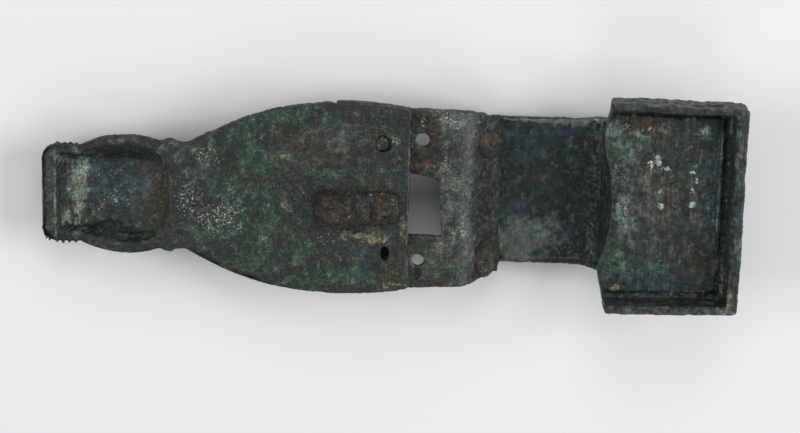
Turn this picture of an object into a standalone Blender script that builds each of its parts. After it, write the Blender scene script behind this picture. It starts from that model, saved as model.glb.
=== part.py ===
"""A mended bronze bow brooch, face down: walled head-plate, bow, leaf-shaped foot and hollow terminal.

Lengths are in metres. The design frame has the back of the foot at z = 0, +X towards the head and
+Y across the brooch. The empty rest_frame turns it by the small angle at which the loose brooch
lies on its bow and its terminal, and puts the middle of its underside at the origin.
"""
import math

import bmesh
import bpy
from mathutils import Matrix, Vector

MM = 0.001
# Space kept between separate pieces
GAP = 0.3 * MM

# Foot: a leaf-shaped plate, broken off straight at its wide end
FOOT_WIDTH = 41.6 * MM
FOOT_WIDEST_X = -11.5 * MM
FOOT_BREAK_X = 3.0 * MM
FOOT_BREAK_TAPER = 1.25 * MM
FOOT_THICKNESS = 2.0 * MM
FOOT_BORDER_DEPTH = 3.4 * MM
FOOT_BORDER_WIDTH = 3.0 * MM
FOOT_RIDGE_WIDTH = 3.2 * MM
FOOT_EDGE_BEVEL = 0.5 * MM
NECK_X = -44.2 * MM
NECK_WIDTH = 23.1 * MM
COLLAR_X = -48.2 * MM
COLLAR_HEIGHT = 0.8 * MM
COLLAR_REACH = 1.4 * MM

# Terminal: an animal head, hollow behind, with ribs across its snout
TERMINAL_END_X = -75.1 * MM
TERMINAL_WIDTH = 25.4 * MM
TERMINAL_WIDEST_X = -57.0 * MM
TERMINAL_CHEEK_X = -50.2 * MM
TERMINAL_CHEEK_RADIUS = 18.0 * MM
TERMINAL_SWAY = 0.2 * MM
TERMINAL_DEPTH = 10.4 * MM
TERMINAL_SIDE_DEPTH = 3.6 * MM
TERMINAL_CORNER = 2.1 * MM
SNOUT_START_X = -67.4 * MM
SNOUT_WIDTH = 20.2 * MM
SNOUT_DEPTH = 7.2 * MM
SNOUT_RIBS = 4
SNOUT_RIB_HEIGHT = 0.35 * MM
SNOUT_RIB_END_X = -72.8 * MM
EYE_X = -57.0 * MM
EYE_SPACING = 10.4 * MM
EYE_RADIUS = 2.5 * MM
EYE_HEIGHT = 1.5 * MM
HOLLOW_LEFT_X = -72.0 * MM
HOLLOW_RIGHT_X = -48.1 * MM
HOLLOW_RIM = 2.3 * MM
HOLLOW_ROUND = 5.6 * MM
HOLLOW_DEPTH = 5.6 * MM
HOLLOW_SHALLOW_DEPTH = 4.0 * MM
HOLLOW_NECK_DEPTH = 3.4 * MM
HOLLOW_NORTH_FLOOR = 6.9 * MM
HOLLOW_SOUTH_FLOOR = 8.6 * MM
HOLLOW_PINCH = 2.9 * MM
HOLLOW_WALL_RUN = 1.9 * MM

# Holes of the foot, from its long axis
RIVET_SHANK = 2.6 * MM
FOOT_RIVET_X = -2.8 * MM
FOOT_RIVET_Y = 12.3 * MM
FOOT_RIVET_TOP = -0.6 * MM
SLOT_X = -2.1 * MM
SLOT_Y = -11.5 * MM
SLOT_WIDTH = 1.7 * MM
SLOT_LENGTH = 3.1 * MM

# Joining plate: sheet that lies under the foot, then bends down onto the bow
PLATE_THICKNESS = 1.2 * MM
PLATE_START_X = -13.0 * MM
PLATE_PROUD = 0.15 * MM
BEND_X = 14.8 * MM
BEND_TAPER = 0.5 * MM
BEND_RADIUS = 2.6 * MM
SLOPE_ANGLE = math.radians(44.0)
SLOPE_LENGTH = 10.7 * MM
SLOPE_END_PROUD = 1.05 * MM
WINDOW_LEFT_X = 0.8 * MM
WINDOW_RIGHT_X = 9.4 * MM
WINDOW_WIDTH = 13.6 * MM
WINDOW_Y = -0.8 * MM
WINDOW_SLANT = 1.6 * MM
UPPER_HOLE = (5.6 * MM, 13.0 * MM)
UPPER_HOLE_SIZE = 3.1 * MM
LOWER_HOLE = (5.0 * MM, -13.4 * MM)
LOWER_HOLE_SIZE = 2.5 * MM

# Bow: a strap with raised sides, turned a little in plan against the foot
HEAD_TURN = math.radians(-0.7)
HEAD_SHIFT = 0.6 * MM
BOW_WIDTH = 32.3 * MM
BOW_THICKNESS = 1.9 * MM
BOW_DEPTH = 11.2 * MM
BOW_RIM_WIDTH = 1.3 * MM
BOW_RIM_HEIGHT = 0.7 * MM
BOW_RIB_WIDTH = 3.4 * MM
BOW_RIB_HEIGHT = 0.5 * MM
BOW_RIDGE_WIDTH = 4.4 * MM
BOW_START_RADIUS = 1.6 * MM
BOW_END_RADIUS = 3.2 * MM
BOW_BREAK_INSET = 1.6 * MM
BOW_RIM_RISE = 2.5 * MM
BOW_LEAN = 1.5 * MM
BOW_FLARE = 0.8 * MM
BOW_RIVET_INSET = 3.85 * MM
BOW_RIVET_Y = -1.2 * MM
BOW_RIVET_ALONG = 6.3 * MM

# Head-plate: a panel with walls on three sides, measured from the plate's bend
HEAD_START = 30.3 * MM
HEAD_LENGTH = 28.3 * MM
HEAD_WIDTH = 45.6 * MM
HEAD_FAR_WIDTH = 44.6 * MM
HEAD_WALL_HEIGHT = 6.0 * MM
HEAD_PANEL_THICKNESS = 1.9 * MM
HEAD_FRAME_DEPTH = 3.2 * MM
HEAD_FRAME_WIDTH = 5.0 * MM
HEAD_CORNER = 0.7 * MM
HEAD_LOBE = 1.5 * MM
HEAD_HOLLOW = 0.8 * MM
WALL_NORTH = 1.6 * MM
WALL_SOUTH = 2.0 * MM
WALL_EAST = 2.6 * MM
GROOVE_WIDTH = 1.7 * MM
GROOVE_DEPTH = 0.8 * MM
AXIS_HOLE_INSET = 6.8 * MM
AXIS_HOLE_Z = 2.7 * MM
AXIS_HOLE_WIDTH = 4.4 * MM
AXIS_HOLE_HEIGHT = 3.0 * MM

# Rivet heads and the stump of the catch
RIVET_HEAD = 6.4 * MM
RIVET_HEAD_HEIGHT = 1.0 * MM
RIVET_FOOT = 5.2 * MM
RIVET_FOOT_HEIGHT = 0.9 * MM
CATCH_START_X = -16.9 * MM
CATCH_BODY_END_X = -4.2 * MM
CATCH_END_X = 0.7 * MM
CATCH_Y = -1.6 * MM
CATCH_WIDTH = 7.4 * MM
CATCH_HEIGHT = 3.4 * MM
CATCH_TIP_HEIGHT = 1.0 * MM

# Fineness of the curved surfaces
STATION_STEP = 1.1 * MM
CIRCLE_SIDES = 20
ARC_STEPS = 5
RUN_STEP = 2.4 * MM
PLATE_LINES = 10
SETTLE_STEPS = 6
THROUGH = 20.0 * MM


def arc_drop(distance, radius):
    """How far a circle falls below its top at a distance from it."""
    return radius - math.sqrt(radius * radius - distance * distance)


def arc_radius(distance, drop):
    """Radius of the circle that falls by drop at a distance from its top."""
    return (distance * distance + drop * drop) / (2.0 * drop)


def smooth(low, high, value):
    """Smooth step from 0 at low to 1 at high."""
    t = min(max((value - low) / (high - low), 0.0), 1.0)
    return t * t * (3.0 - 2.0 * t)


def mix(a, b, t):
    """Straight blend from a to b."""
    return a + (b - a) * t


def bell(distance, reach):
    """Bell curve of height 1."""
    return math.exp(-(distance / reach) ** 2)


def spread(low, high, step):
    """Even stations from low to high, both included, no further apart than step."""
    count = max(1, math.ceil((high - low) / step))
    return [mix(low, high, i / count) for i in range(count + 1)]


def foot_half_width(x):
    """Half width of foot and terminal: arcs for the leaf and for the cheeks, a collar at the neck."""
    half, neck = FOOT_WIDTH / 2, NECK_WIDTH / 2
    if x >= FOOT_WIDEST_X:
        radius = arc_radius(FOOT_BREAK_X - FOOT_WIDEST_X, FOOT_BREAK_TAPER)
        return half - arc_drop(x - FOOT_WIDEST_X, radius)
    if x >= NECK_X:
        return half - arc_drop(FOOT_WIDEST_X - x, arc_radius(FOOT_WIDEST_X - NECK_X, half - neck))
    cheek = TERMINAL_WIDTH / 2
    if x >= TERMINAL_CHEEK_X:
        join = cheek - arc_drop(TERMINAL_CHEEK_X - TERMINAL_WIDEST_X, TERMINAL_CHEEK_RADIUS)
        base = mix(join, neck, smooth(TERMINAL_CHEEK_X, NECK_X, x))
    elif x >= TERMINAL_WIDEST_X:
        base = cheek - arc_drop(x - TERMINAL_WIDEST_X, TERMINAL_CHEEK_RADIUS)
    elif x >= SNOUT_START_X:
        radius = arc_radius(TERMINAL_WIDEST_X - SNOUT_START_X, cheek - SNOUT_WIDTH / 2)
        base = cheek - arc_drop(TERMINAL_WIDEST_X - x, radius)
    else:
        from_end = max(TERMINAL_CORNER - (x - TERMINAL_END_X), 0.0)
        base = SNOUT_WIDTH / 2 + snout_rib(x) - arc_drop(from_end, TERMINAL_CORNER)
    return base + COLLAR_HEIGHT * bell(x - COLLAR_X, COLLAR_REACH)


def snout_rib(x):
    """Height of the ribs that run across the snout: a row of cosine waves."""
    if not SNOUT_RIB_END_X < x < SNOUT_START_X:
        return 0.0
    turns = (x - SNOUT_RIB_END_X) / (SNOUT_START_X - SNOUT_RIB_END_X) * SNOUT_RIBS
    return SNOUT_RIB_HEIGHT * (0.5 - math.cos(2.0 * math.pi * turns) / 2.0)


def foot_axis(x):
    """Sideways place of the long axis: straight along the foot, swayed in the terminal."""
    return TERMINAL_SWAY * smooth(NECK_X, TERMINAL_WIDEST_X, x) if x < NECK_X else 0.0


def head_crest(x):
    """Depth of the animal head's crest: up from the neck to the brow, down to the ribbed snout."""
    brow = TERMINAL_DEPTH - EYE_HEIGHT / 2
    rise = mix(brow, FOOT_BORDER_DEPTH, smooth(EYE_X, NECK_X, x))
    fall = mix(SNOUT_DEPTH, rise, smooth(SNOUT_START_X, EYE_X, x))
    blunt = smooth(TERMINAL_END_X, TERMINAL_END_X + TERMINAL_CORNER, x)
    return fall + 1.5 * snout_rib(x) - TERMINAL_CORNER * (1.0 - blunt)


def front_depth(x, y, half):
    """Depth of the decorated face below the back: bordered and ridged foot, rounded animal head."""
    if x > PLATE_START_X - GAP:
        return FOOT_THICKNESS
    if x > NECK_X:
        from_edge = half - abs(y)
        border = 1.0 - smooth(FOOT_BORDER_WIDTH - 2 * GAP, FOOT_BORDER_WIDTH, from_edge)
        ridge = 1.0 - smooth(FOOT_RIDGE_WIDTH / 2 - 2 * GAP, FOOT_RIDGE_WIDTH / 2, abs(y))
        return mix(FOOT_THICKNESS, FOOT_BORDER_DEPTH, max(border, ridge))
    side = mix(TERMINAL_SIDE_DEPTH, FOOT_BORDER_DEPTH, smooth(TERMINAL_CHEEK_X, NECK_X, x))
    dome = math.sqrt(max(1.0 - (y / half) ** 2, 0.0))
    eye = bell(math.hypot(x - EYE_X, abs(y) - EYE_SPACING / 2), EYE_RADIUS)
    depth = mix(side, head_crest(x), dome) + EYE_HEIGHT * eye
    return min(depth, TERMINAL_DEPTH)


def front_lines(half):
    """Places across the front face, from +half to -half, with lines at border and ridge."""
    border, ridge = half - FOOT_BORDER_WIDTH, FOOT_RIDGE_WIDTH / 2
    side = [half, half - 0.5 * GAP, border + 2 * GAP, border]
    side += [mix(border, ridge, t) for t in (0.25, 0.5, 0.75)]
    side += [ridge, ridge - 2 * GAP]
    return side + [0.0] + [-y for y in reversed(side)]


def foot_section(x):
    """Ring of points round the foot at x: across the back, down the side, across the front."""
    half, axis = foot_half_width(x), foot_axis(x)
    side_depth = front_depth(x, half, half)
    ring = [(-(half - FOOT_EDGE_BEVEL), 0.0), (half - FOOT_EDGE_BEVEL, 0.0)]
    ring += [(half, -FOOT_EDGE_BEVEL), (half, GAP - side_depth)]
    ring += [(y, -front_depth(x, y, half)) for y in front_lines(half - GAP)]
    ring += [(-half, GAP - side_depth), (-half, -FOOT_EDGE_BEVEL)]
    return [Vector((x, axis + y, z)) for y, z in ring]


def foot_stations():
    """Stations along the foot, closer on the ribbed snout and in pairs where the relief steps."""
    ribs = (SNOUT_START_X - SNOUT_RIB_END_X) / (6 * SNOUT_RIBS)
    marks = [TERMINAL_END_X, TERMINAL_END_X + TERMINAL_CORNER, SNOUT_RIB_END_X, SNOUT_START_X]
    steps = [TERMINAL_CORNER / 3, STATION_STEP, ribs]
    marks += [NECK_X, NECK_X + GAP, PLATE_START_X - 2 * GAP, PLATE_START_X - GAP / 2, FOOT_BREAK_X]
    steps += [STATION_STEP, GAP, 2 * STATION_STEP, GAP * 2, 3 * STATION_STEP]
    stations = [marks[0]]
    for low, high, step in zip(marks, marks[1:], steps):
        stations += spread(low, high, step)[1:]
    return stations


def hollow_half_width(x):
    """Half width of the terminal's hollow at the back: the outline less the rim, rounded at the neck."""
    width = foot_half_width(x) - COLLAR_HEIGHT * bell(x - COLLAR_X, COLLAR_REACH) - HOLLOW_RIM
    start = HOLLOW_RIGHT_X - HOLLOW_ROUND
    t = min(max((x - start) / HOLLOW_ROUND, 0.0), 0.97)
    return width * (1.0 - t ** 2.6) ** (1.0 / 2.6)


def hollow_depth(t):
    """Depth of the hollow along it: shallow at the snout, deep under the eyes, shallow again at the neck."""
    deep = mix(HOLLOW_SHALLOW_DEPTH, HOLLOW_DEPTH, smooth(0.0, 0.4, t))
    return mix(deep, HOLLOW_NECK_DEPTH, smooth(0.6, 1.0, t))


def hollow_ring(depth_share):
    """Ring round the hollow at a share of its depth: its floor is straight to the north, pinched to the south."""
    points = []
    for x in spread(HOLLOW_LEFT_X, HOLLOW_RIGHT_X, STATION_STEP):
        t = (x - HOLLOW_LEFT_X) / (HOLLOW_RIGHT_X - HOLLOW_LEFT_X)
        half, middle = hollow_half_width(x), foot_axis(x)
        inward = HOLLOW_WALL_RUN * depth_share * (1.0 - 1.6 * t)
        widest = max(half - HOLLOW_WALL_RUN / 2, HOLLOW_WALL_RUN)
        north = min(HOLLOW_NORTH_FLOOR, widest)
        south = min(HOLLOW_SOUTH_FLOOR - HOLLOW_PINCH * bell(t - 0.43, 0.17), widest)
        north, south = mix(half, north, depth_share), mix(half, south, depth_share)
        points.append((x + inward, middle + north, middle - south, -hollow_depth(t) * depth_share))
    up = [Vector((x, north, z)) for x, north, south, z in points]
    down = [Vector((x, south, z)) for x, north, south, z in reversed(points)]
    return up + down


def filleted_path(corners, radii):
    """Points and upward normals along straight runs in XZ that are joined by arcs, closely stationed."""
    runs = [(b - a).normalized() for a, b in zip(corners, corners[1:])]
    path = [(corners[0], Vector((-runs[0].y, runs[0].x)))]
    for corner, radius, before, after in zip(corners[1:], radii, runs, runs[1:]):
        turn = before.angle_signed(after)
        start = corner - before * radius * math.tan(abs(turn) / 2)
        normal = Vector((-before.y, before.x))
        sign = 1.0 if turn > 0.0 else -1.0
        centre = start - normal * radius * sign
        path += straight_run(path[-1][0], start, normal)
        for step in range(1, ARC_STEPS + 1):
            spun = Matrix.Rotation(-turn * step / ARC_STEPS, 2) @ normal
            path.append((centre + spun * radius * sign, spun))
    return path + straight_run(path[-1][0], corners[-1], Vector((-runs[-1].y, runs[-1].x)))


def straight_run(start, end, normal):
    """Stations after start, up to end, on a straight stretch of a path."""
    length = (end - start).length
    return [(start.lerp(end, along / length), normal) for along in spread(0.0, length, RUN_STEP)[1:]]


def slope_point(along):
    """Place on the upper face of the joining plate's slope, from the bend, as (x, z) in the head frame."""
    top = -(FOOT_THICKNESS + GAP)
    return Vector((along * math.cos(SLOPE_ANGLE), top - along * math.sin(SLOPE_ANGLE)))


def slope_normal():
    """Normal of the slope, up and towards the head."""
    return Vector((math.sin(SLOPE_ANGLE), math.cos(SLOPE_ANGLE)))


def bow_path():
    """Inner face of the bow: under the joining plate's slope, along the crown, up to the head."""
    under = -(PLATE_THICKNESS + GAP) * slope_normal()
    top = slope_point(BOW_BREAK_INSET) + under
    fall = (BOW_DEPTH + slope_point(0.0).y + under.y) / math.sin(SLOPE_ANGLE)
    base = slope_point(fall) + under
    head = HEAD_START + 0.4 * MM
    corners = [top, base, Vector((head - BOW_LEAN, -BOW_DEPTH)), Vector((head, -HEAD_PANEL_THICKNESS / 2))]
    return filleted_path(corners, [BOW_START_RADIUS, BOW_END_RADIUS])


def bow_ring(point, normal):
    """Ring round the strap: raised sides on the bare inner face, ribs and a middle ridge on the front."""
    bare = slope_point(SLOPE_LENGTH).x
    flare = BOW_FLARE * smooth(HEAD_START - 3 * BOW_FLARE - BOW_END_RADIUS, HEAD_START, point.x)
    half, lip = BOW_WIDTH / 2 + flare, GAP / 2
    rim = BOW_RIM_HEIGHT * smooth(bare, bare + BOW_RIM_RISE, point.x)
    inner = [(-half, rim - lip), (lip - half, rim), (BOW_RIM_WIDTH - half, rim)]
    inner += [(BOW_RIM_WIDTH + GAP - half, 0.0)]
    inner += [(-y, h) for y, h in reversed(inner)]
    low, high = -BOW_THICKNESS, -BOW_THICKNESS - BOW_RIB_HEIGHT
    rib, ridge = half - BOW_RIB_WIDTH, BOW_RIDGE_WIDTH / 2
    outer = [(half, high + lip), (half - lip, high), (rib, high), (rib - GAP, low)]
    outer += [(ridge + GAP, low), (ridge / 2, mix(low, high, 0.7))]
    outer += [(-y, h) for y, h in reversed(outer)]
    places = [(point + normal * h, y) for y, h in inner + outer]
    return [Vector((p.x, y, p.y)) for p, y in places]


def head_left_edge(y):
    """Near edge of the head-plate: two lobes where the bow's sides run in, and a shallow hollow between."""
    lobes = bell(abs(y) - BOW_WIDTH / 2 + 2 * MM, 5.0 * MM)
    middle = bell(y, 7.0 * MM)
    return HEAD_START - HEAD_LOBE * lobes + HEAD_HOLLOW * middle


def head_outline(inset=(0.0, 0.0, 0.0), near_x=None):
    """Plan of the head-plate, a little narrower at its far end, inset by the north, south and east walls.

    The near edge is lobed with small cut corners, or straight at near_x for a cutter.
    """
    north, south, east = inset
    near_half, far_half, end = HEAD_WIDTH / 2, HEAD_FAR_WIDTH / 2, HEAD_START + HEAD_LENGTH
    if near_x is not None:
        return [(near_x, south - near_half), (end - east, south - far_half),
                (end - east, far_half - north), (near_x, near_half - north)]
    reach = near_half - HEAD_CORNER
    near = [(head_left_edge(y), y) for y in reversed(spread(-reach, reach, 2 * STATION_STEP))]
    far = [(HEAD_START + HEAD_CORNER, near_half), (end - HEAD_CORNER, far_half)]
    far.append((end, far_half - HEAD_CORNER))
    return near + [(x, -y) for x, y in far] + list(reversed(far))


def finish(bm, name, material, frame):
    """Closes a bmesh into a named object, shaded smooth between its sharp edges."""
    bmesh.ops.recalc_face_normals(bm, faces=bm.faces)
    mesh = bpy.data.meshes.new(name)
    bm.to_mesh(mesh)
    bm.free()
    mesh.shade_smooth()
    mesh.set_sharp_from_angle(angle=math.radians(35.0))
    mesh.materials.append(material)
    piece = bpy.data.objects.new(name, mesh)
    bpy.context.collection.objects.link(piece)
    piece.parent = frame
    return piece


def loft(name, rings, material, frame):
    """A closed body through a stack of rings, all with as many points, capped at both ends."""
    bm = bmesh.new()
    rows = [[bm.verts.new(point) for point in ring] for ring in rings]
    for low, high in zip(rows, rows[1:]):
        for i in range(len(low)):
            bm.faces.new((low[i - 1], low[i], high[i], high[i - 1]))
    bm.faces.new(rows[0])
    bm.faces.new(rows[-1])
    return finish(bm, name, material, frame)


def prism(name, outline, low, high, material, frame):
    """A plan outline extruded from one height to another."""
    bm = bmesh.new()
    base = bm.faces.new([bm.verts.new((x, y, low)) for x, y in outline])
    grown = bmesh.ops.extrude_face_region(bm, geom=[base])["geom"]
    moved = [item for item in grown if isinstance(item, bmesh.types.BMVert)]
    bmesh.ops.translate(bm, verts=moved, vec=(0.0, 0.0, high - low))
    return finish(bm, name, material, frame)


def turned(name, profile, material, frame):
    """A profile of (radius, height) points from axis to axis, spun round Z."""
    bm = bmesh.new()
    points = [bm.verts.new((radius, 0.0, height)) for radius, height in profile]
    edges = [bm.edges.new(pair) for pair in zip(points, points[1:])]
    bmesh.ops.spin(bm, geom=points + edges, cent=(0.0, 0.0, 0.0), axis=(0.0, 0.0, 1.0),
                   angle=2.0 * math.pi, steps=CIRCLE_SIDES, use_merge=True, use_duplicate=False)
    bmesh.ops.remove_doubles(bm, verts=bm.verts, dist=0.01 * MM)
    return finish(bm, name, material, frame)


def cut(piece, cutter, operation="DIFFERENCE"):
    """Cuts the cutter from a piece, or joins it on, with a live Boolean, and hides it."""
    boolean = piece.modifiers.new(cutter.name, "BOOLEAN")
    boolean.operation = operation
    boolean.solver = "EXACT"
    boolean.object = cutter
    cutter.hide_render = True
    cutter.display_type = "WIRE"


def drill(name, pieces, place, diameter, frame, rotation=(0.0, 0.0, 0.0), stretch=1.0):
    """One round or oval hole through one or more pieces, its axis turned from Z by rotation."""
    radius = diameter / 2
    profile = [(0.0, THROUGH / 2), (radius, THROUGH / 2), (radius, -THROUGH / 2), (0.0, -THROUGH / 2)]
    cutter = turned(name, profile, pieces[0].data.materials[0], frame)
    cutter.data.transform(Matrix.Scale(stretch, 4, (1.0, 0.0, 0.0)))
    cutter.location = place
    cutter.rotation_euler = rotation
    for piece in pieces:
        cut(piece, cutter)


def metal(name, colour, metallic, roughness):
    """A Principled material with the metal's colour, as linear values."""
    material = bpy.data.materials.new(name)
    material.use_nodes = True
    shader = material.node_tree.nodes["Principled BSDF"]
    shader.inputs["Base Color"].default_value = (*colour, 1.0)
    shader.inputs["Metallic"].default_value = metallic
    shader.inputs["Roughness"].default_value = roughness
    return material


def make_foot(bronze, frame):
    """Foot-plate and terminal, one casting, with the hollow behind the animal head."""
    foot = loft("foot", [foot_section(x) for x in foot_stations()], bronze, frame)
    rings = [hollow_ring(share) for share in (-0.2, 0.0, 0.35, 0.7, 0.92, 1.0)]
    cut(foot, loft("hollow_cutter", rings, bronze, frame))
    return foot


def plate_half_width(along):
    """Half width of the joining plate by distance from its bend: the foot's outline, then narrowing."""
    x = BEND_X + along
    if x < FOOT_BREAK_X:
        return foot_half_width(x) + PLATE_PROUD
    start = foot_half_width(FOOT_BREAK_X) + PLATE_PROUD
    if along <= 0.0:
        return start - BEND_TAPER * (x - FOOT_BREAK_X) / (BEND_X - FOOT_BREAK_X)
    end = BOW_WIDTH / 2 + SLOPE_END_PROUD
    return mix(start - BEND_TAPER, end, smooth(0.0, SLOPE_LENGTH, along))


def make_joining_plate(bronze, frame):
    """Sheet along a path with one bend, whose bend line is turned in plan with the bow."""
    top = -(FOOT_THICKNESS + GAP)
    corners = [Vector((PLATE_START_X - BEND_X, top)), Vector((0.0, top)), slope_point(SLOPE_LENGTH)]
    rings = []
    for point, normal in filleted_path(corners, [BEND_RADIUS]):
        half = plate_half_width(math.copysign((point - Vector((0.0, top))).length, point.x))
        lean = math.tan(-HEAD_TURN) * smooth(FOOT_BREAK_X - BEND_X, 0.0, point.x)
        across = [mix(half, -half, i / PLATE_LINES) for i in range(PLATE_LINES + 1)]
        upper = [Vector((BEND_X + point.x + y * lean, y, point.y)) for y in across]
        inset = point - normal * PLATE_THICKNESS
        lower = [Vector((BEND_X + inset.x + y * lean, y, inset.y)) for y in reversed(across)]
        rings.append(upper + lower)
    plate = loft("joining_plate", rings, bronze, frame)
    low, high = WINDOW_Y - WINDOW_WIDTH / 2, WINDOW_Y + WINDOW_WIDTH / 2
    window = [(WINDOW_LEFT_X, low), (WINDOW_RIGHT_X + WINDOW_SLANT / 3, low - WINDOW_SLANT / 4),
              (WINDOW_RIGHT_X, WINDOW_Y), (WINDOW_RIGHT_X - WINDOW_SLANT / 2, high - WINDOW_SLANT),
              (WINDOW_LEFT_X, high)]
    cut(plate, prism("window_cutter", window, -THROUGH, THROUGH, bronze, frame))
    for name, (x, y), size in (("upper_hole_cutter", UPPER_HOLE, UPPER_HOLE_SIZE),
                               ("lower_hole_cutter", LOWER_HOLE, LOWER_HOLE_SIZE)):
        drill(name, [plate], (x, y, 0.0), size, frame)
    return plate


def make_head_and_bow(bronze, frame):
    """Walled head-plate with its spring tray, and the bow strap fused to its near edge."""
    head = prism("head_and_bow", head_outline(), -HEAD_FRAME_DEPTH, HEAD_WALL_HEIGHT, bronze, frame)
    walls, near = (WALL_NORTH, WALL_SOUTH, WALL_EAST), HEAD_START - 2 * HEAD_LOBE
    far = HEAD_START + HEAD_LENGTH
    cut(head, prism("tray_cutter", head_outline(walls, near), 0.0, 2 * HEAD_WALL_HEIGHT, bronze, frame))
    floor = head_outline(walls, near)
    panel = head_outline([wall + GROOVE_WIDTH for wall in walls], near)
    for name, i in (("south_groove_cutter", 0), ("east_groove_cutter", 1), ("north_groove_cutter", 2)):
        strip = [floor[i], floor[i + 1], panel[i + 1], panel[i]]
        cut(head, prism(name, strip, -GROOVE_DEPTH, HEAD_WALL_HEIGHT / 2, bronze, frame))
    field = head_outline([HEAD_FRAME_WIDTH] * 3, HEAD_START + HEAD_FRAME_WIDTH)
    cut(head, prism("field_cutter", field, -2 * HEAD_FRAME_DEPTH, -HEAD_PANEL_THICKNESS, bronze, frame))
    for side, sign in (("north", 1.0), ("south", -1.0)):
        spot = (far - AXIS_HOLE_INSET, sign * HEAD_FAR_WIDTH / 2, AXIS_HOLE_Z)
        drill(side + "_axis_cutter", [head], spot, AXIS_HOLE_HEIGHT, frame,
              (math.pi / 2, 0.0, 0.0), AXIS_HOLE_WIDTH / AXIS_HOLE_HEIGHT)
    rings = [bow_ring(point, normal) for point, normal in bow_path()]
    cut(head, loft("bow_strap", rings, bronze, frame), "UNION")
    return head


def rivet_profile(top, head_height, bottom):
    """Outline of a rivet from its upper end to its clenched end, as (radius, height)."""
    shank, head, foot = RIVET_SHANK / 2, RIVET_HEAD / 2, RIVET_FOOT / 2
    if head_height > 0.0:
        upper = [(0.0, top + head_height), (head * 0.55, top + head_height * 0.85),
                 (head, top + head_height * 0.3), (head, top), (shank, top)]
    else:
        upper = [(0.0, top), (shank, top)]
    lower = [(shank, bottom), (foot, bottom), (foot * 0.8, bottom - RIVET_FOOT_HEIGHT * 0.7),
             (0.0, bottom - RIVET_FOOT_HEIGHT)]
    return upper + lower


def make_bow_rivets(iron, frame, plate, head):
    """Two iron rivets square to the slope, through the joining plate and the bow below it."""
    place, tilt = slope_point(BOW_RIVET_ALONG), (0.0, SLOPE_ANGLE, 0.0)
    bottom = -(PLATE_THICKNESS + BOW_THICKNESS + BOW_RIB_HEIGHT + 2 * GAP)
    reach = BOW_WIDTH / 2 - BOW_RIVET_INSET
    for name, side in (("bow_rivet_upper", reach), ("bow_rivet_lower", -reach)):
        spot = (place.x, BOW_RIVET_Y + side, place.y)
        rivet = turned(name, rivet_profile(GAP, RIVET_HEAD_HEIGHT, bottom), iron, frame)
        rivet.location = spot
        rivet.rotation_euler = tilt
        drill(name + "_cutter", [plate, head], spot, RIVET_SHANK + 2 * GAP, frame, tilt)


def make_foot_rivet(iron, frame, foot, plate):
    """Remains of the rivet through foot and joining plate, and the open slot where the other was."""
    bottom = -(FOOT_THICKNESS + PLATE_THICKNESS + 2 * GAP)
    rivet = turned("foot_rivet", rivet_profile(FOOT_RIVET_TOP, 0.0, bottom), iron, frame)
    rivet.location = (FOOT_RIVET_X, FOOT_RIVET_Y, 0.0)
    drill("foot_rivet_cutter", [foot, plate], rivet.location, RIVET_SHANK + 2 * GAP, frame)
    drill("slot_cutter", [foot, plate], (SLOT_X, SLOT_Y, 0.0), SLOT_LENGTH, frame,
          stretch=SLOT_WIDTH / SLOT_LENGTH)


def catch_ring(x):
    """Ring across the catch stump: a flattened half oval on a flat base, lower towards its tip."""
    worn = smooth(CATCH_BODY_END_X, CATCH_END_X, x)
    start = smooth(CATCH_START_X, CATCH_START_X + MM, x)
    height = mix(CATCH_HEIGHT, CATCH_TIP_HEIGHT, worn) * mix(0.7, 1.0, start)
    half = CATCH_WIDTH / 2 * mix(1.0, 0.72, worn)
    ring = []
    for i in range(CIRCLE_SIDES // 2 + 1):
        angle = math.pi * i / (CIRCLE_SIDES // 2)
        rise = math.sin(angle) ** 0.6 if 0 < i < CIRCLE_SIDES // 2 else 0.0
        ring.append(Vector((x, CATCH_Y + half * math.cos(angle), GAP + height * rise)))
    return ring


def placed_points(piece):
    """Corners of a piece with its modifiers, where they stand now."""
    bpy.context.view_layer.update()
    solid = piece.evaluated_get(bpy.context.evaluated_depsgraph_get())
    return [solid.matrix_world @ vertex.co for vertex in solid.data.vertices]


def lie_down(frame, foot, plate, head):
    """Turns the brooch until bow and terminal both touch the table, and centres it on the origin."""
    left, right, slope = placed_points(foot), placed_points(head), 0.0
    for _ in range(SETTLE_STEPS):
        low_left = min(left, key=lambda point: point.z + slope * point.x)
        low_right = min(right, key=lambda point: point.z + slope * point.x)
        slope = (low_left.z - low_right.z) / (low_right.x - low_left.x)
    frame.rotation_euler.y = -math.atan(slope)
    points = placed_points(foot) + placed_points(plate) + placed_points(head)
    low = [min(point[i] for point in points) for i in range(3)]
    high = [max(point[i] for point in points) for i in range(3)]
    frame.location = (-(low[0] + high[0]) / 2, -(low[1] + high[1]) / 2, -low[2])


def main():
    """Builds the brooch in an empty scene."""
    for old in list(bpy.data.objects):
        bpy.data.objects.remove(old)
    bronze = metal("bronze", (0.062, 0.075, 0.062), 0.4, 0.6)
    sheet = metal("sheet_bronze", (0.085, 0.097, 0.085), 0.4, 0.6)
    iron = metal("rusted_iron", (0.075, 0.045, 0.03), 0.1, 0.9)
    rest_frame = bpy.data.objects.new("rest_frame", None)
    head_frame = bpy.data.objects.new("head_frame", None)
    for empty in (rest_frame, head_frame):
        bpy.context.collection.objects.link(empty)
    head_frame.parent = rest_frame
    head_frame.location = (BEND_X, HEAD_SHIFT, 0.0)
    head_frame.rotation_euler.z = HEAD_TURN

    foot = make_foot(bronze, rest_frame)
    plate = make_joining_plate(sheet, rest_frame)
    head = make_head_and_bow(bronze, head_frame)
    make_bow_rivets(iron, head_frame, plate, head)
    make_foot_rivet(iron, rest_frame, foot, plate)
    catch_rings = [catch_ring(x) for x in spread(CATCH_START_X, CATCH_END_X, STATION_STEP)]
    loft("catch_stump", catch_rings, iron, rest_frame)
    lie_down(rest_frame, foot, plate, head)


main()
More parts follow.
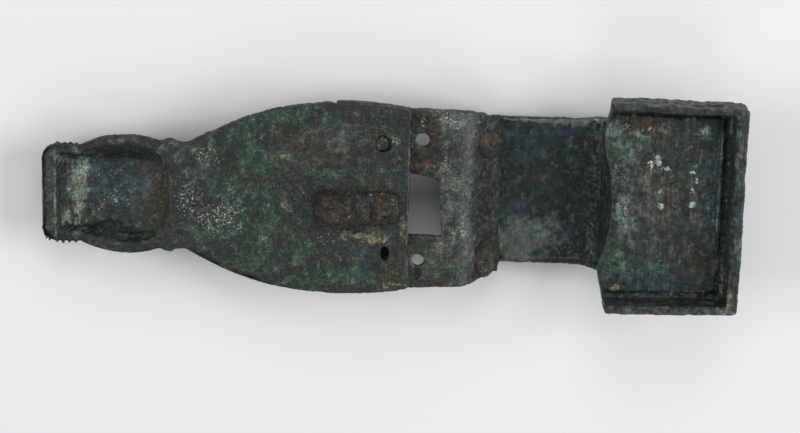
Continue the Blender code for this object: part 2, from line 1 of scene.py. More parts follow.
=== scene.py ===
"""Visual model of a mended bronze fibula brooch, lying face down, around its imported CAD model.

Forms are worked out in millimetres in the design frame of the CAD source: back of the foot at z = 0,
+X towards the head-plate. They go to world metres in the last step. Run it as a script in Blender 4.5.
"""
import math

import bmesh
import bpy
import numpy as np
from bpy.props import FloatProperty, FloatVectorProperty, PointerProperty
from bpy.types import Operator, Panel, PropertyGroup
from mathutils import Matrix, Vector


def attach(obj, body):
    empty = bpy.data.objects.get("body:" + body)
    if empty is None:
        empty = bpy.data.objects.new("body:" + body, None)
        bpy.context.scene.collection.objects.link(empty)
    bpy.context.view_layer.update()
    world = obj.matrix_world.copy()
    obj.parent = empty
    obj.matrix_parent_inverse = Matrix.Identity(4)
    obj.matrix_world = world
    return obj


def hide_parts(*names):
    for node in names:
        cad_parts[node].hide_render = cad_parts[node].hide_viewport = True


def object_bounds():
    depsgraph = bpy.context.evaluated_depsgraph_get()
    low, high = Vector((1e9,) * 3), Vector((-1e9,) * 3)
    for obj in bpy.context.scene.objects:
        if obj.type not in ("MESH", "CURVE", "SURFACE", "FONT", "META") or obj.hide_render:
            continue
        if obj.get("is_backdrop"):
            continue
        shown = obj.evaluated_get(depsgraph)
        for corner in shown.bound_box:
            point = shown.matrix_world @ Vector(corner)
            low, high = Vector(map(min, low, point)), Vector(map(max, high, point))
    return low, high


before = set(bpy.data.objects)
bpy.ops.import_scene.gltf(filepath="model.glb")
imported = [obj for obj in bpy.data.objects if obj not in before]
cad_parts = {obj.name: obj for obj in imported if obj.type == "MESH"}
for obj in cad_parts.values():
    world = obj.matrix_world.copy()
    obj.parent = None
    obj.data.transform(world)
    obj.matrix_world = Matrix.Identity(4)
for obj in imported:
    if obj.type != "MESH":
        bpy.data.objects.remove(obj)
CAD_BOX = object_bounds()

bl_info = {
    "name": "Mended fibula brooch",
    "version": (1, 0, 0),
    "blender": (4, 5, 0),
    "location": "View3D > Sidebar > Brooch",
    "description": "Builds a corroded bronze bow brooch with its old mend, lying face down",
    "category": "Add Mesh",
}

MM = 0.001

# How the brooch lies on its bow and terminal: turned about Y, then moved, in millimetres
REST_PITCH = math.radians(-2.3148365)
REST_PLACE = np.array((0.655, -0.221, 12.688))

# Foot and terminal
GAP = 0.3
FOOT_WIDTH = 41.6
FOOT_WIDEST_X = -11.5
FOOT_BREAK_X = 3.0
FOOT_BREAK_TAPER = 1.25
FOOT_THICKNESS = 2.0
FOOT_BORDER_DEPTH = 3.4
FOOT_BORDER_WIDTH = 3.0
FOOT_RIDGE_WIDTH = 3.2
FOOT_EDGE_BEVEL = 0.5
NECK_X = -44.2
NECK_WIDTH = 23.1
COLLAR_X = -48.2
COLLAR_HEIGHT = 0.8
COLLAR_REACH = 1.4
TERMINAL_END_X = -75.1
TERMINAL_WIDTH = 25.4
TERMINAL_WIDEST_X = -57.0
TERMINAL_CHEEK_X = -50.2
TERMINAL_CHEEK_RADIUS = 18.0
TERMINAL_SWAY = 0.2
TERMINAL_DEPTH = 10.4
TERMINAL_SIDE_DEPTH = 3.6
TERMINAL_CORNER = 2.1
SNOUT_START_X = -67.4
SNOUT_WIDTH = 20.2
SNOUT_DEPTH = 7.2
SNOUT_RIBS = 4
SNOUT_RIB_HEIGHT = 0.75
SNOUT_RIB_FRONT = 1.5
SNOUT_RIB_END_X = -72.8
EYE_X = -57.0
EYE_SPACING = 10.4
EYE_RADIUS = 2.5
EYE_HEIGHT = 1.5
HOLLOW_LEFT_X = -72.0
HOLLOW_RIGHT_X = -48.1
HOLLOW_RIM = 2.3
HOLLOW_NORTH_RIM = 1.4
HOLLOW_ROUND = 5.6
HOLLOW_DEPTH = 5.6
HOLLOW_SHALLOW_DEPTH = 4.0
HOLLOW_NECK_DEPTH = 3.4
HOLLOW_NORTH_FLOOR = 6.9
HOLLOW_SOUTH_FLOOR = 8.6
HOLLOW_PINCH = 2.9
HOLLOW_PINCH_PLACE = 0.43
HOLLOW_PINCH_REACH = 0.17
HOLLOW_SQUARE = 2.6
HOLLOW_WALL_RUN = 1.9

# Rivets, holes and joining plate
RIVET_SHANK = 2.6
FOOT_RIVET = (-2.8, 12.3)
FOOT_RIVET_TOP = -0.6
SLOT = (-2.1, -11.5)
SLOT_WIDTH = 1.7
SLOT_LENGTH = 3.1
PLATE_THICKNESS = 1.2
PLATE_START_X = -13.0
PLATE_PROUD = 0.15
SLIVER = 0.02
BEND_X = 14.8
BEND_TAPER = 0.5
BEND_RADIUS = 6.0
SLOPE_ANGLE = math.radians(44.0)
SLOPE_LENGTH = 10.7
SLOPE_END_PROUD = 1.05
WINDOW = ((0.8, -7.6), (9.93, -8.0), (9.4, -0.8), (8.6, 4.4), (0.8, 6.0))
UPPER_HOLE = (5.6, 13.0)
UPPER_HOLE_SIZE = 3.1
LOWER_HOLE = (5.0, -13.4)
LOWER_HOLE_SIZE = 2.5
RIVET_HEAD = 6.4
RIVET_HEAD_HEIGHT = 1.0
RIVET_FOOT = 5.2
RIVET_FOOT_HEIGHT = 0.9
RIVET_SIDES = 40
RUST_SWELL = 1.33
UPPER_CRUST = (3.0, 3.2, 0.9)
LOWER_CRUST = (3.1, 4.3, 1.5)

# Bow and head-plate, in their own frame at the plate's bend
HEAD_TURN = math.radians(-0.7)
HEAD_SHIFT = 0.6
BOW_WIDTH = 32.3
BOW_THICKNESS = 1.9
BOW_DEPTH = 11.2
BOW_RIM_WIDTH = 1.3
BOW_RIM_HEIGHT = 0.4
BOW_RIB_WIDTH = 3.4
BOW_RIB_HEIGHT = 0.5
BOW_RIDGE_WIDTH = 4.4
BOW_START_RADIUS = 1.6
BOW_END_RADIUS = 3.2
BOW_BREAK_INSET = 1.6
BOW_RIM_RISE = 2.5
BOW_LEAN = 1.5
BOW_FLARE = 0.8
BOW_SINK = 0.4
BOW_RIVET_INSET = 3.85
BOW_RIVET_Y = -1.2
BOW_RIVET_ALONG = 6.3
HEAD_START = 30.3
HEAD_LENGTH = 28.3
HEAD_WIDTH = 45.6
HEAD_FAR_WIDTH = 44.6
HEAD_WALL_HEIGHT = 6.0
HEAD_PANEL_THICKNESS = 1.9
HEAD_FRAME_DEPTH = 3.2
HEAD_FRAME_WIDTH = 5.0
HEAD_CORNER = 0.4
HEAD_LOBE = 1.5
HEAD_LOBE_INSET = 2.0
HEAD_LOBE_REACH = 5.0
HEAD_HOLLOW = 0.8
HEAD_HOLLOW_REACH = 7.0
WALLS = (1.6, 2.0, 2.6)
GROOVE_WIDTH = 1.7
GROOVE_DEPTH = 0.8
AXIS_HOLE_INSET = 6.8
AXIS_HOLE_Z = 2.7
AXIS_HOLE_WIDTH = 4.4
AXIS_HOLE_HEIGHT = 3.0
WALL_TOPS = (4.6, 5.4)
HEAD_SIDES = (20.5, 21.5)
BOW_SIDES = (14.8, 15.6)

# Stump of the iron catch
CATCH_START_X = -16.9
CATCH_BODY_END_X = -4.2
CATCH_END_X = 0.7
CATCH_FULL_X = CATCH_START_X + 1.6
CATCH_WORN_X = CATCH_BODY_END_X + 2.0
CATCH_START_HEIGHT = 0.55
CATCH_START_WIDTH = 0.7
CATCH_Y = -1.6
CATCH_WIDTH = 7.4
CATCH_HEIGHT = 3.4
CATCH_TIP_HEIGHT = 1.0
CATCH_TIP_WIDTH = 0.72
CATCH_GROOVE = 0.22
CATCH_LIP = 0.06
CATCH_FLATNESS = 0.75

# Camera, from the photograph's view, in the design frame
VIEW_TARGET = (1.03, -3.32, 0.0)
VIEW_TILT = math.radians(-13.0)
VIEW_ROLL = math.radians(1.1)
VIEW_DISTANCE = 550.0
VIEW_WIDTH = 170.24
SENSOR_WIDTH = 36.0

# Table and lamps, in metres
TABLE_REACH = 1.5
TABLE_DROP = 0.0001
LAMP_SIZE = 0.6

# Share of the cell size for each piece, so that each shows its detail and has less than 200,000 triangles
FOOT_CELLS = 0.92
PLATE_CELLS = 0.65
IRON_CELLS = 0.6

# Grain of the wear, in mm
PIT_GRAIN = 1.6
SKIN_GRAIN = 0.7
SWELL_GRAIN = 9.0
NIBBLE_GRAIN = 1.8
EDGE_GRAIN = 2.6
LUMP_GRAIN = 1.5
CHIP_GRAIN = 3.5
BEVEL_GRAIN = 5.0

# Depths of the bevels, dish and chips, and heights of the lips, in mm
FOOT_BEVEL = 0.9
SNOUT_BEVEL = 0.8
RIM_BEVEL = 0.5
RIVET_DISH = 0.3
CHIP_DEPTH = 0.45
SLOT_LIP = 0.22
BREAK_LIP = 0.12

# Stains: grain in mm, then how far the rim wanders and between where it fades, as shares of the oval
STAIN_GRAIN = 2.2
STAIN_RAGGED = 0.45
STAIN_FADE = (1.6, 0.3)

# Grain of every finish, in mm. Real pits and specks of corrosion are mostly under 0.1 mm, too fine to show
# at this distance, so the flecks are drawn as coarse as they need to be to show.
CLOUD = 6.0
PATCH = 1.7
FLECK = 0.45
FILE_MARKS = (0.3, 4.0, 2.0)
CAST = 2.4

# Weight of the clouds, height of the flecks beside the patches', grain that is left on rubbed metal, spread
# of the roughness, and the two casts that the tone drifts between
CLOUD_WEIGHT = 1.5
FLECK_HEIGHT = 0.6
RUBBED_GRAIN = 0.6
SHINIER, DULLER = 0.07, 0.09
COOL_CAST = (0.78, 1.05, 1.14, 1.0)
WARM_CAST = (1.20, 0.96, 0.82, 1.0)


def linear(text):
    """Linear red, green, blue and alpha of an sRGB hex colour."""
    values = [int(text[i:i + 2], 16) / 255.0 for i in (1, 3, 5)]
    return [v / 12.92 if v <= 0.04045 else ((v + 0.055) / 1.055) ** 2.4 for v in values] + [1.0]


class BroochSizes(PropertyGroup):
    """Fineness and wear of the metal"""
    cell: FloatProperty(name="Cell", description="Edge of the cells that the finished meshes are made of",
                        default=0.3 * MM, min=0.2 * MM, unit="LENGTH")
    pit_depth: FloatProperty(name="Pit depth", description="Depth of the corrosion pits",
                             default=0.09 * MM, min=0.0, unit="LENGTH")
    wear_depth: FloatProperty(name="Edge wear", description="How far sharp edges are worn back",
                              default=0.28 * MM, min=0.0, unit="LENGTH")
    swell: FloatProperty(name="Unevenness", description="Height of the casting's slow unevenness",
                         default=0.12 * MM, min=0.0, unit="LENGTH")
    crust_height: FloatProperty(name="Crust height", description="Height of the iron's rust crusts",
                                default=0.55 * MM, min=0.0, unit="LENGTH")


def colour_property(name, description, default):
    """A colour property with its default given as sRGB hex."""
    return FloatVectorProperty(name=name, description=description, subtype="COLOR", size=4,
                               min=0.0, max=1.0, default=linear(default))


class BroochColours(PropertyGroup):
    """Colours of the metal, its corrosion and the table"""
    bronze: colour_property("Bronze patina", "Smooth dark patina of the casting", "#242A25")
    foot: colour_property("Foot patina", "Darker patina of the foot and terminal", "#1D2420")
    sheet: colour_property("Sheet patina", "Patina of the joining plate", "#343732")
    bow: colour_property("Bow patina", "Dark blue-green patina inside the bow", "#13211F")
    malachite: colour_property("Malachite", "Granular green corrosion", "#2A4434")
    azurite: colour_property("Azurite", "Blue flecks", "#1E2D48")
    haze: colour_property("Blue haze", "Thin blue-grey film", "#283A42")
    earth: colour_property("Earth", "Brown soil and iron stain", "#3A3226")
    ochre: colour_property("Ochre", "Yellow-brown lime and soil crust", "#747558")
    # The pale film colour also paints highlights and sheen: on the terminal's rims, the plate's bend, the bow
    # and the head's walls and panel edge.
    film: colour_property("Pale film", "Smooth pale grey-green film", "#5C665F")
    dust: colour_property("Dust", "White specks of lime", "#949D99")
    # The worn metal colour also paints part of the highlights at the plate's bend, the foot's broken end, the
    # bow's lower side and the north wall.
    worn: colour_property("Worn metal", "Grey metal where edges are rubbed", "#4D5150")
    # The deep dirt colour also paints shade: in concave corners, along the head's grooves, in the slot, where
    # the bow rises under the head-plate and on the north wall of the terminal's hollow.
    soot: colour_property("Deep dirt", "Dirt in corners and pits", "#0B0B09")
    rust: colour_property("Rust", "Brown rust of the iron", "#2B2521")
    bright_rust: colour_property("Orange rust", "Fresh orange rust", "#4F3924")
    table: colour_property("Table", "Pale matt table", "#EEEFF1")


class BroochLight(PropertyGroup):
    """Strength of the studio lamps"""
    left: FloatProperty(name="Left lamp", description="Power of the broad lamp at the left", default=3.8,
                        min=0.0, unit="POWER")
    right: FloatProperty(name="Right lamp", description="Power of the broad lamp at the right", default=5.8,
                         min=0.0, unit="POWER")
    back: FloatProperty(name="Back lamp", description="Power of the lamp beyond the brooch", default=2.2,
                        min=0.0, unit="POWER")
    front: FloatProperty(name="Front lamp", description="Power of the lamp on this side of the brooch",
                         default=1.5, min=0.0, unit="POWER")
    fill: FloatProperty(name="Fill", description="Strength of the light from all round",
                        default=0.2, min=0.0)


def smooth(low, high, value):
    """Smooth step from 0 at low to 1 at high: t squared times three less two t."""
    t = np.clip((value - low) / (high - low), 0.0, 1.0)
    return t * t * (3.0 - 2.0 * t)


def mix(a, b, t):
    """Straight blend from a to b."""
    return a + (b - a) * t


def bell(distance, reach):
    """Bell curve of height 1: e to the minus square of distance over reach."""
    return np.exp(-(distance / reach) ** 2)


def arc_drop(distance, radius):
    """How far a circle falls below its top at a distance from it, by Pythagoras."""
    return radius - np.sqrt(np.maximum(radius * radius - distance * distance, 0.0))


def arc_radius(distance, drop):
    """Radius of the circle that falls by drop at a distance from its top."""
    return (distance * distance + drop * drop) / (2.0 * drop)


def spread(low, high, step):
    """Even stations from low to high, both included, no further apart than step."""
    return np.linspace(low, high, max(1, math.ceil((high - low) / step)) + 1)


def corner_values(cells, seed):
    """Random numbers from -1 to 1 at whole-numbered corners: the three indices and the seed, hashed."""
    c = cells.astype(np.uint64)
    mask = np.uint64(0xFFFFFFFF)
    h = (c[:, 0] * np.uint64(73856093)) ^ (c[:, 1] * np.uint64(19349663)) ^ (c[:, 2] * np.uint64(83492791))
    h = (h ^ np.uint64(seed * 2654435761 % 2 ** 32)) & mask
    for shift, factor in ((13, 0x5BD1E995), (15, 0x27D4EB2D), (16, 0x165667B1)):
        h = ((h ^ (h >> np.uint64(shift))) * np.uint64(factor)) & mask
    h ^= h >> np.uint64(16)
    return h.astype(float) / 2.0 ** 31 - 1.0


def noise(points, size, seed):
    """Smooth noise from -1 to 1: the corner values of cells of this size, blended by smooth steps."""
    scaled = points / size + 512.0
    base = np.floor(scaled).astype(np.int64)
    part = scaled - base
    part = part * part * (3.0 - 2.0 * part)
    total = np.zeros(len(points))
    for corner in np.ndindex(2, 2, 2):
        offset = np.array(corner)
        weight = np.prod(np.where(offset, part, 1.0 - part), axis=1)
        total += corner_values(base + offset, seed) * weight
    return total


def rough(points, size, seed, octaves=3):
    """Rough noise: octaves of smooth noise, each half as large and half as strong, about -1 to 1."""
    layers = [noise(points, size / 2 ** i, seed + i) * 0.5 ** i for i in range(octaves)]
    return sum(layers) * 1.2


def snout_rib(x):
    """Height of the ribs across the snout: a row of cosine waves between their two ends."""
    turns = (x - SNOUT_RIB_END_X) / (SNOUT_START_X - SNOUT_RIB_END_X) * SNOUT_RIBS
    inside = (x > SNOUT_RIB_END_X) & (x < SNOUT_START_X)
    return np.where(inside, SNOUT_RIB_HEIGHT * (0.5 - np.cos(2.0 * math.pi * turns) / 2.0), 0.0)


def foot_half_width(x):
    """Half width of foot and terminal: arcs for leaf and cheeks, a ribbed snout, a bell at the collar."""
    half, neck, cheek = FOOT_WIDTH / 2, NECK_WIDTH / 2, TERMINAL_WIDTH / 2
    end = half - arc_drop(x - FOOT_WIDEST_X, arc_radius(FOOT_BREAK_X - FOOT_WIDEST_X, FOOT_BREAK_TAPER))
    leaf = half - arc_drop(FOOT_WIDEST_X - x, arc_radius(FOOT_WIDEST_X - NECK_X, half - neck))
    join = cheek - arc_drop(TERMINAL_CHEEK_X - TERMINAL_WIDEST_X, TERMINAL_CHEEK_RADIUS)
    throat = mix(join, neck, smooth(TERMINAL_CHEEK_X, NECK_X, x))
    cheeks = cheek - arc_drop(x - TERMINAL_WIDEST_X, TERMINAL_CHEEK_RADIUS)
    jaw_radius = arc_radius(TERMINAL_WIDEST_X - SNOUT_START_X, cheek - SNOUT_WIDTH / 2)
    jaw = cheek - arc_drop(TERMINAL_WIDEST_X - x, jaw_radius)
    from_end = np.maximum(TERMINAL_CORNER - (x - TERMINAL_END_X), 0.0)
    snout = SNOUT_WIDTH / 2 + snout_rib(x) - arc_drop(from_end, TERMINAL_CORNER)
    starts = (FOOT_WIDEST_X, NECK_X, TERMINAL_CHEEK_X, TERMINAL_WIDEST_X, SNOUT_START_X)
    base = np.select([x >= start for start in starts], [end, leaf, throat, cheeks, jaw], snout)
    return base + np.where(x < NECK_X, COLLAR_HEIGHT * bell(x - COLLAR_X, COLLAR_REACH), 0.0)


def foot_axis(x):
    """Sideways place of the long axis: straight along the foot, swayed by a smooth step in the terminal."""
    return TERMINAL_SWAY * smooth(NECK_X, TERMINAL_WIDEST_X, x)


def head_crest(x):
    """Depth of the animal head's crest: up from the neck to the brow, down to the ribbed, blunt snout."""
    brow = TERMINAL_DEPTH - EYE_HEIGHT / 2
    rise = mix(brow, FOOT_BORDER_DEPTH, smooth(EYE_X, NECK_X, x))
    fall = mix(SNOUT_DEPTH, rise, smooth(SNOUT_START_X, EYE_X, x))
    blunt = smooth(TERMINAL_END_X, TERMINAL_END_X + TERMINAL_CORNER, x)
    return fall + SNOUT_RIB_FRONT * snout_rib(x) - TERMINAL_CORNER * (1.0 - blunt)


def front_depth(x, y, half):
    """Depth of the front below the back: border and ridge on the foot, an elliptic dome on the head."""
    from_edge = half - np.abs(y)
    border = 1.0 - smooth(FOOT_BORDER_WIDTH - 2 * GAP, FOOT_BORDER_WIDTH, from_edge)
    ridge = 1.0 - smooth(FOOT_RIDGE_WIDTH / 2 - 2 * GAP, FOOT_RIDGE_WIDTH / 2, np.abs(y))
    plate = mix(FOOT_THICKNESS, FOOT_BORDER_DEPTH, np.maximum(border, ridge))
    side = mix(TERMINAL_SIDE_DEPTH, FOOT_BORDER_DEPTH, smooth(TERMINAL_CHEEK_X, NECK_X, x))
    dome = np.sqrt(np.maximum(1.0 - (y / half) ** 2, 0.0))
    eye = bell(np.hypot(x - EYE_X, np.abs(y) - EYE_SPACING / 2), EYE_RADIUS)
    head = np.minimum(mix(side, head_crest(x), dome) + EYE_HEIGHT * eye, TERMINAL_DEPTH)
    flat = np.full_like(plate, FOOT_THICKNESS)
    return np.select([x > PLATE_START_X - GAP, x > NECK_X], [flat, plate], head)


def foot_rings(x):
    """Rings round the foot at stations x: across the flat back, down the side, across the front's relief."""
    x = x[:, None]
    half = foot_half_width(x)
    lip = half - GAP
    border, ridge = lip - FOOT_BORDER_WIDTH, FOOT_RIDGE_WIDTH / 2
    side = [lip, lip - 0.15, border + 2 * GAP, border]
    side += [mix(border, ridge, t) for t in np.arange(1, 10) / 10.0]
    side += [ridge + 0.0 * x, ridge - 2 * GAP + 0.0 * x]
    front_y = np.hstack(side + [0.0 * x] + [-y for y in reversed(side)])
    front_z = -front_depth(x + 0.0 * front_y, front_y, half)
    deep = GAP - front_depth(x, half, half)
    flat, bevel = 0.0 * x, 0.0 * x - FOOT_EDGE_BEVEL
    y = np.hstack([FOOT_EDGE_BEVEL - half, half - FOOT_EDGE_BEVEL, half, half, front_y, -half, -half])
    z = np.hstack([flat, flat, bevel, deep, front_z, deep, bevel])
    return np.stack([x + 0.0 * y, foot_axis(x) + y, z], axis=2)


def hollow_rings(shares):
    """Rings round the terminal's hollow at shares of its depth: a blend from rim to floor, pinched by a bell.
    The floor is a blend from its outline to its middle line."""
    x = spread(HOLLOW_LEFT_X, HOLLOW_RIGHT_X, 0.5)
    t = (x - HOLLOW_LEFT_X) / (HOLLOW_RIGHT_X - HOLLOW_LEFT_X)
    width = foot_half_width(x) - COLLAR_HEIGHT * bell(x - COLLAR_X, COLLAR_REACH) - HOLLOW_RIM
    round_end = np.clip((x - HOLLOW_RIGHT_X + HOLLOW_ROUND) / HOLLOW_ROUND, 0.0, 0.97)
    round_end = (1.0 - round_end ** HOLLOW_SQUARE) ** (1.0 / HOLLOW_SQUARE)
    wide = (width + HOLLOW_RIM - HOLLOW_NORTH_RIM) * round_end
    width = width * round_end
    deep = mix(HOLLOW_SHALLOW_DEPTH, HOLLOW_DEPTH, smooth(0.0, 0.4, t))
    deep = mix(deep, HOLLOW_NECK_DEPTH, smooth(0.6, 1.0, t))
    widest = np.maximum(width - HOLLOW_WALL_RUN / 2, HOLLOW_WALL_RUN)
    north = np.minimum(HOLLOW_NORTH_FLOOR, widest)
    pinch = HOLLOW_PINCH * bell(t - HOLLOW_PINCH_PLACE, HOLLOW_PINCH_REACH)
    south = np.minimum(HOLLOW_SOUTH_FLOOR - pinch, widest)
    rings = []
    for share in shares:
        along = x + HOLLOW_WALL_RUN * share * (1.0 - 1.6 * t)
        upper = np.stack([along, foot_axis(x) + mix(wide, north, share), -deep * share], axis=1)
        lower = np.stack([along, foot_axis(x) - mix(width, south, share), -deep * share], axis=1)
        rings.append(np.vstack([upper, lower[::-1]]))
    middle = rings[-1] * (1.0, 0.0, 1.0) + (0.0, TERMINAL_SWAY, 0.0)
    return np.array(rings + [mix(middle, rings[-1], t) for t in (0.5, 0.0)])


def unit(vector):
    """A vector or rows of vectors, made one long."""
    return vector / np.linalg.norm(vector, axis=-1, keepdims=True)


def bent_path(corners, radii, step):
    """Points and upward normals in XZ along straight runs, joined by circular arcs of the given radii."""
    corners = np.array(corners, float)
    runs = unit(np.diff(corners, axis=0))
    up = np.stack([-runs[:, 1], runs[:, 0]], axis=1)
    points, normals, start = [], [], corners[0]
    for i, radius in enumerate(list(radii) + [None]):
        turn, end = 0.0, corners[i + 1]
        if radius:
            turn = math.atan2(up[i] @ runs[i + 1], runs[i] @ runs[i + 1])
            end = end - runs[i] * radius * math.tan(abs(turn) / 2)
        along = spread(0.0, np.linalg.norm(end - start), step)[:, None]
        points.append(start + runs[i] * along)
        normals.append(np.repeat(up[i][None], len(along), axis=0))
        if radius:
            side = math.copysign(radius, -turn)
            centre = end - up[i] * side
            angle = turn * np.arange(1, 9) / 8.0
            spun = np.stack([up[i][0] * np.cos(angle) - up[i][1] * np.sin(angle),
                             up[i][0] * np.sin(angle) + up[i][1] * np.cos(angle)], axis=1)
            points.append(centre + spun * side)
            normals.append(spun)
            start = centre + spun[-1] * side
    points, normals = np.vstack(points), np.vstack(normals)
    fresh = np.r_[True, np.linalg.norm(np.diff(points, axis=0), axis=1) > 0.01]
    return points[fresh], normals[fresh]


def slope_point(along):
    """Place in XZ on the upper face of the joining plate's slope, from the bend, as the CAD has it."""
    down = FOOT_THICKNESS + GAP + along * math.sin(SLOPE_ANGLE)
    return np.array([along * math.cos(SLOPE_ANGLE), -down])


SLOPE_NORMAL = np.array([math.sin(SLOPE_ANGLE), math.cos(SLOPE_ANGLE)])


def plate_half_width(along):
    """Half width of the joining plate by distance from its bend: the foot's outline, then straight lines."""
    x = BEND_X + along
    start = foot_half_width(np.array(FOOT_BREAK_X)) + PLATE_PROUD
    level = start - BEND_TAPER * (x - FOOT_BREAK_X) / (BEND_X - FOOT_BREAK_X)
    end = BOW_WIDTH / 2 + SLOPE_END_PROUD
    down = mix(start - BEND_TAPER, end, smooth(0.0, SLOPE_LENGTH, along))
    return np.select([x < FOOT_BREAK_X, along <= 0.0], [foot_half_width(x) + PLATE_PROUD, level], down)


def plate_rings():
    """Rings round the sheet along its bent path. It fills the fine gaps that the CAD keeps beside it."""
    top = slope_point(0.0)
    start = np.array([PLATE_START_X - BEND_X, top[1]])
    points, normals = bent_path([start, top, slope_point(SLOPE_LENGTH)], [BEND_RADIUS], 0.6)
    along = np.copysign(np.linalg.norm(points - top, axis=1), points[:, 0])
    half = plate_half_width(along)[:, None]
    lean = (math.tan(-HEAD_TURN) * smooth(FOOT_BREAK_X - BEND_X, 0.0, points[:, 0]))[:, None]
    across = half * np.linspace(1.0, -1.0, 25)
    rings = []
    for rise, y in ((GAP - SLIVER, across), (-PLATE_THICKNESS - GAP + SLIVER, across[:, ::-1])):
        place = points + normals * rise
        rings.append(np.stack([BEND_X + place[:, :1] + y * lean, y, place[:, 1:] + 0.0 * y], axis=2))
    return np.concatenate(rings, axis=1)


def bow_rings():
    """Rings round the bow's strap along its path: raised sides within, ribs and a middle ridge without."""
    under = -(PLATE_THICKNESS + GAP) * SLOPE_NORMAL
    fall = (BOW_DEPTH + slope_point(0.0)[1] + under[1]) / math.sin(SLOPE_ANGLE)
    head = HEAD_START + BOW_SINK
    corners = [slope_point(BOW_BREAK_INSET) + under, slope_point(fall) + under]
    corners += [(head - BOW_LEAN, -BOW_DEPTH), (head, -HEAD_PANEL_THICKNESS / 2)]
    points, normals = bent_path(corners, [BOW_START_RADIUS, BOW_END_RADIUS], 0.6)
    x = points[:, :1]
    bare = slope_point(SLOPE_LENGTH)[0]
    half = BOW_WIDTH / 2 + BOW_FLARE * smooth(HEAD_START - 3 * BOW_FLARE - BOW_END_RADIUS, HEAD_START, x)
    rim = BOW_RIM_HEIGHT * smooth(bare, bare + BOW_RIM_RISE, x)
    zero, lip = 0.0 * x, GAP / 2
    low, high = -BOW_THICKNESS, -BOW_THICKNESS - BOW_RIB_HEIGHT
    inner_y = [-half, lip - half, BOW_RIM_WIDTH - half, BOW_RIM_WIDTH + GAP - half]
    inner_h = [rim - lip, rim, rim, zero]
    rib, ridge = half - BOW_RIB_WIDTH, zero + BOW_RIDGE_WIDTH / 2
    outer_y = [half, half - lip, rib, rib - GAP, ridge + GAP, ridge / 2]
    outer_h = [zero + h for h in (high + lip, high, high, low, low, mix(low, high, 0.7))]
    y = np.hstack(inner_y + [-v for v in reversed(inner_y)] + outer_y + [-v for v in reversed(outer_y)])
    h = np.hstack(inner_h + inner_h[::-1] + outer_h + outer_h[::-1])
    return np.stack([x + normals[:, :1] * h, y, points[:, 1:] + normals[:, 1:] * h], axis=2)


def head_left_edge(y):
    """Near edge of the head-plate: a bell-shaped lobe at each side of the bow, a shallow one cut between."""
    lobes = bell(np.abs(y) - BOW_WIDTH / 2 + HEAD_LOBE_INSET, HEAD_LOBE_REACH)
    return HEAD_START - HEAD_LOBE * lobes + HEAD_HOLLOW * bell(y, HEAD_HOLLOW_REACH)


def head_outline(inset=(0.0, 0.0, 0.0), near_x=None):
    """Plan of the head-plate, narrower at its far end, inset by the north, south and east walls."""
    north, south, east = inset
    near_half, far_half, end = HEAD_WIDTH / 2, HEAD_FAR_WIDTH / 2, HEAD_START + HEAD_LENGTH
    if near_x is not None:
        return np.array([(near_x, south - near_half), (end - east, south - far_half),
                         (end - east, far_half - north), (near_x, near_half - north)])
    y = spread(HEAD_CORNER - near_half, near_half - HEAD_CORNER, 0.5)[::-1]
    near = np.stack([head_left_edge(y), y], axis=1)
    far = np.array([(HEAD_START + HEAD_CORNER, near_half), (end - HEAD_CORNER, far_half),
                    (end, far_half - HEAD_CORNER)])
    return np.vstack([near, far * (1.0, -1.0), far[::-1]])


def levels(outline, low, high):
    """Two rings: a plan outline at two heights."""
    return np.array([np.column_stack([outline, np.full(len(outline), z)]) for z in (low, high)])


def turned_rings(profile, sides):
    """Rings round Z through the (radius, height) points of a profile: radius times cosine and sine."""
    angle = np.linspace(0.0, 2.0 * math.pi, sides, endpoint=False)
    profile = np.array(profile, float)
    radius, height = profile[:, :1], profile[:, 1:]
    return np.stack([radius * np.cos(angle), radius * np.sin(angle), height + 0.0 * angle], axis=2)


def drill_rings(place, size, axis="Z", stretch=1.0, length=40.0):
    """A round or oval rod for a hole: two rings of one radius, its axis along Z or Y."""
    rings = turned_rings([(size / 2, -length / 2), (size / 2, length / 2)], 32) * (stretch, 1.0, 1.0)
    if axis == "Y":
        rings = rings[:, :, [0, 2, 1]]
    return rings + np.array(place)


def catch_rings():
    """Rings across the catch stump: half ovals with a flattened top, lower and narrower at the tip."""
    x = spread(CATCH_START_X, CATCH_END_X, 0.4)[:, None]
    worn = smooth(CATCH_WORN_X, CATCH_END_X, x)
    start = smooth(CATCH_START_X, CATCH_FULL_X, x)
    height = mix(CATCH_HEIGHT, CATCH_TIP_HEIGHT, worn) * mix(CATCH_START_HEIGHT, 1.0, start)
    groove, lip = bell(x - CATCH_BODY_END_X + 0.9, 0.5), bell(x - CATCH_BODY_END_X, 0.4)
    height = height * (1.0 - CATCH_GROOVE * groove + CATCH_LIP * lip)
    angle = np.linspace(0.0, math.pi, 31)
    half = CATCH_WIDTH / 2 * mix(1.0, CATCH_TIP_WIDTH, worn) * mix(CATCH_START_WIDTH, 1.0, start)
    y = CATCH_Y + half * np.cos(angle)
    rise = np.sin(angle) ** CATCH_FLATNESS
    rise[[0, -1]] = 0.0
    return np.stack([x + 0.0 * y, y, height * rise - 0.05], axis=2)


def from_head_frame(points):
    """Points of the head's frame in the design frame: turned about Z, then moved to the plate's bend."""
    c, s = math.cos(HEAD_TURN), math.sin(HEAD_TURN)
    turned = points @ np.array([[c, s, 0.0], [-s, c, 0.0], [0.0, 0.0, 1.0]])
    return turned + (BEND_X, HEAD_SHIFT, 0.0)


def to_world(points):
    """Design millimetres to world metres: turned about Y by the rest pitch, then lifted onto the table."""
    c, s = math.cos(REST_PITCH), math.sin(REST_PITCH)
    turned = points @ np.array([[c, 0.0, -s], [0.0, 1.0, 0.0], [s, 0.0, c]])
    return (turned + REST_PLACE) * MM


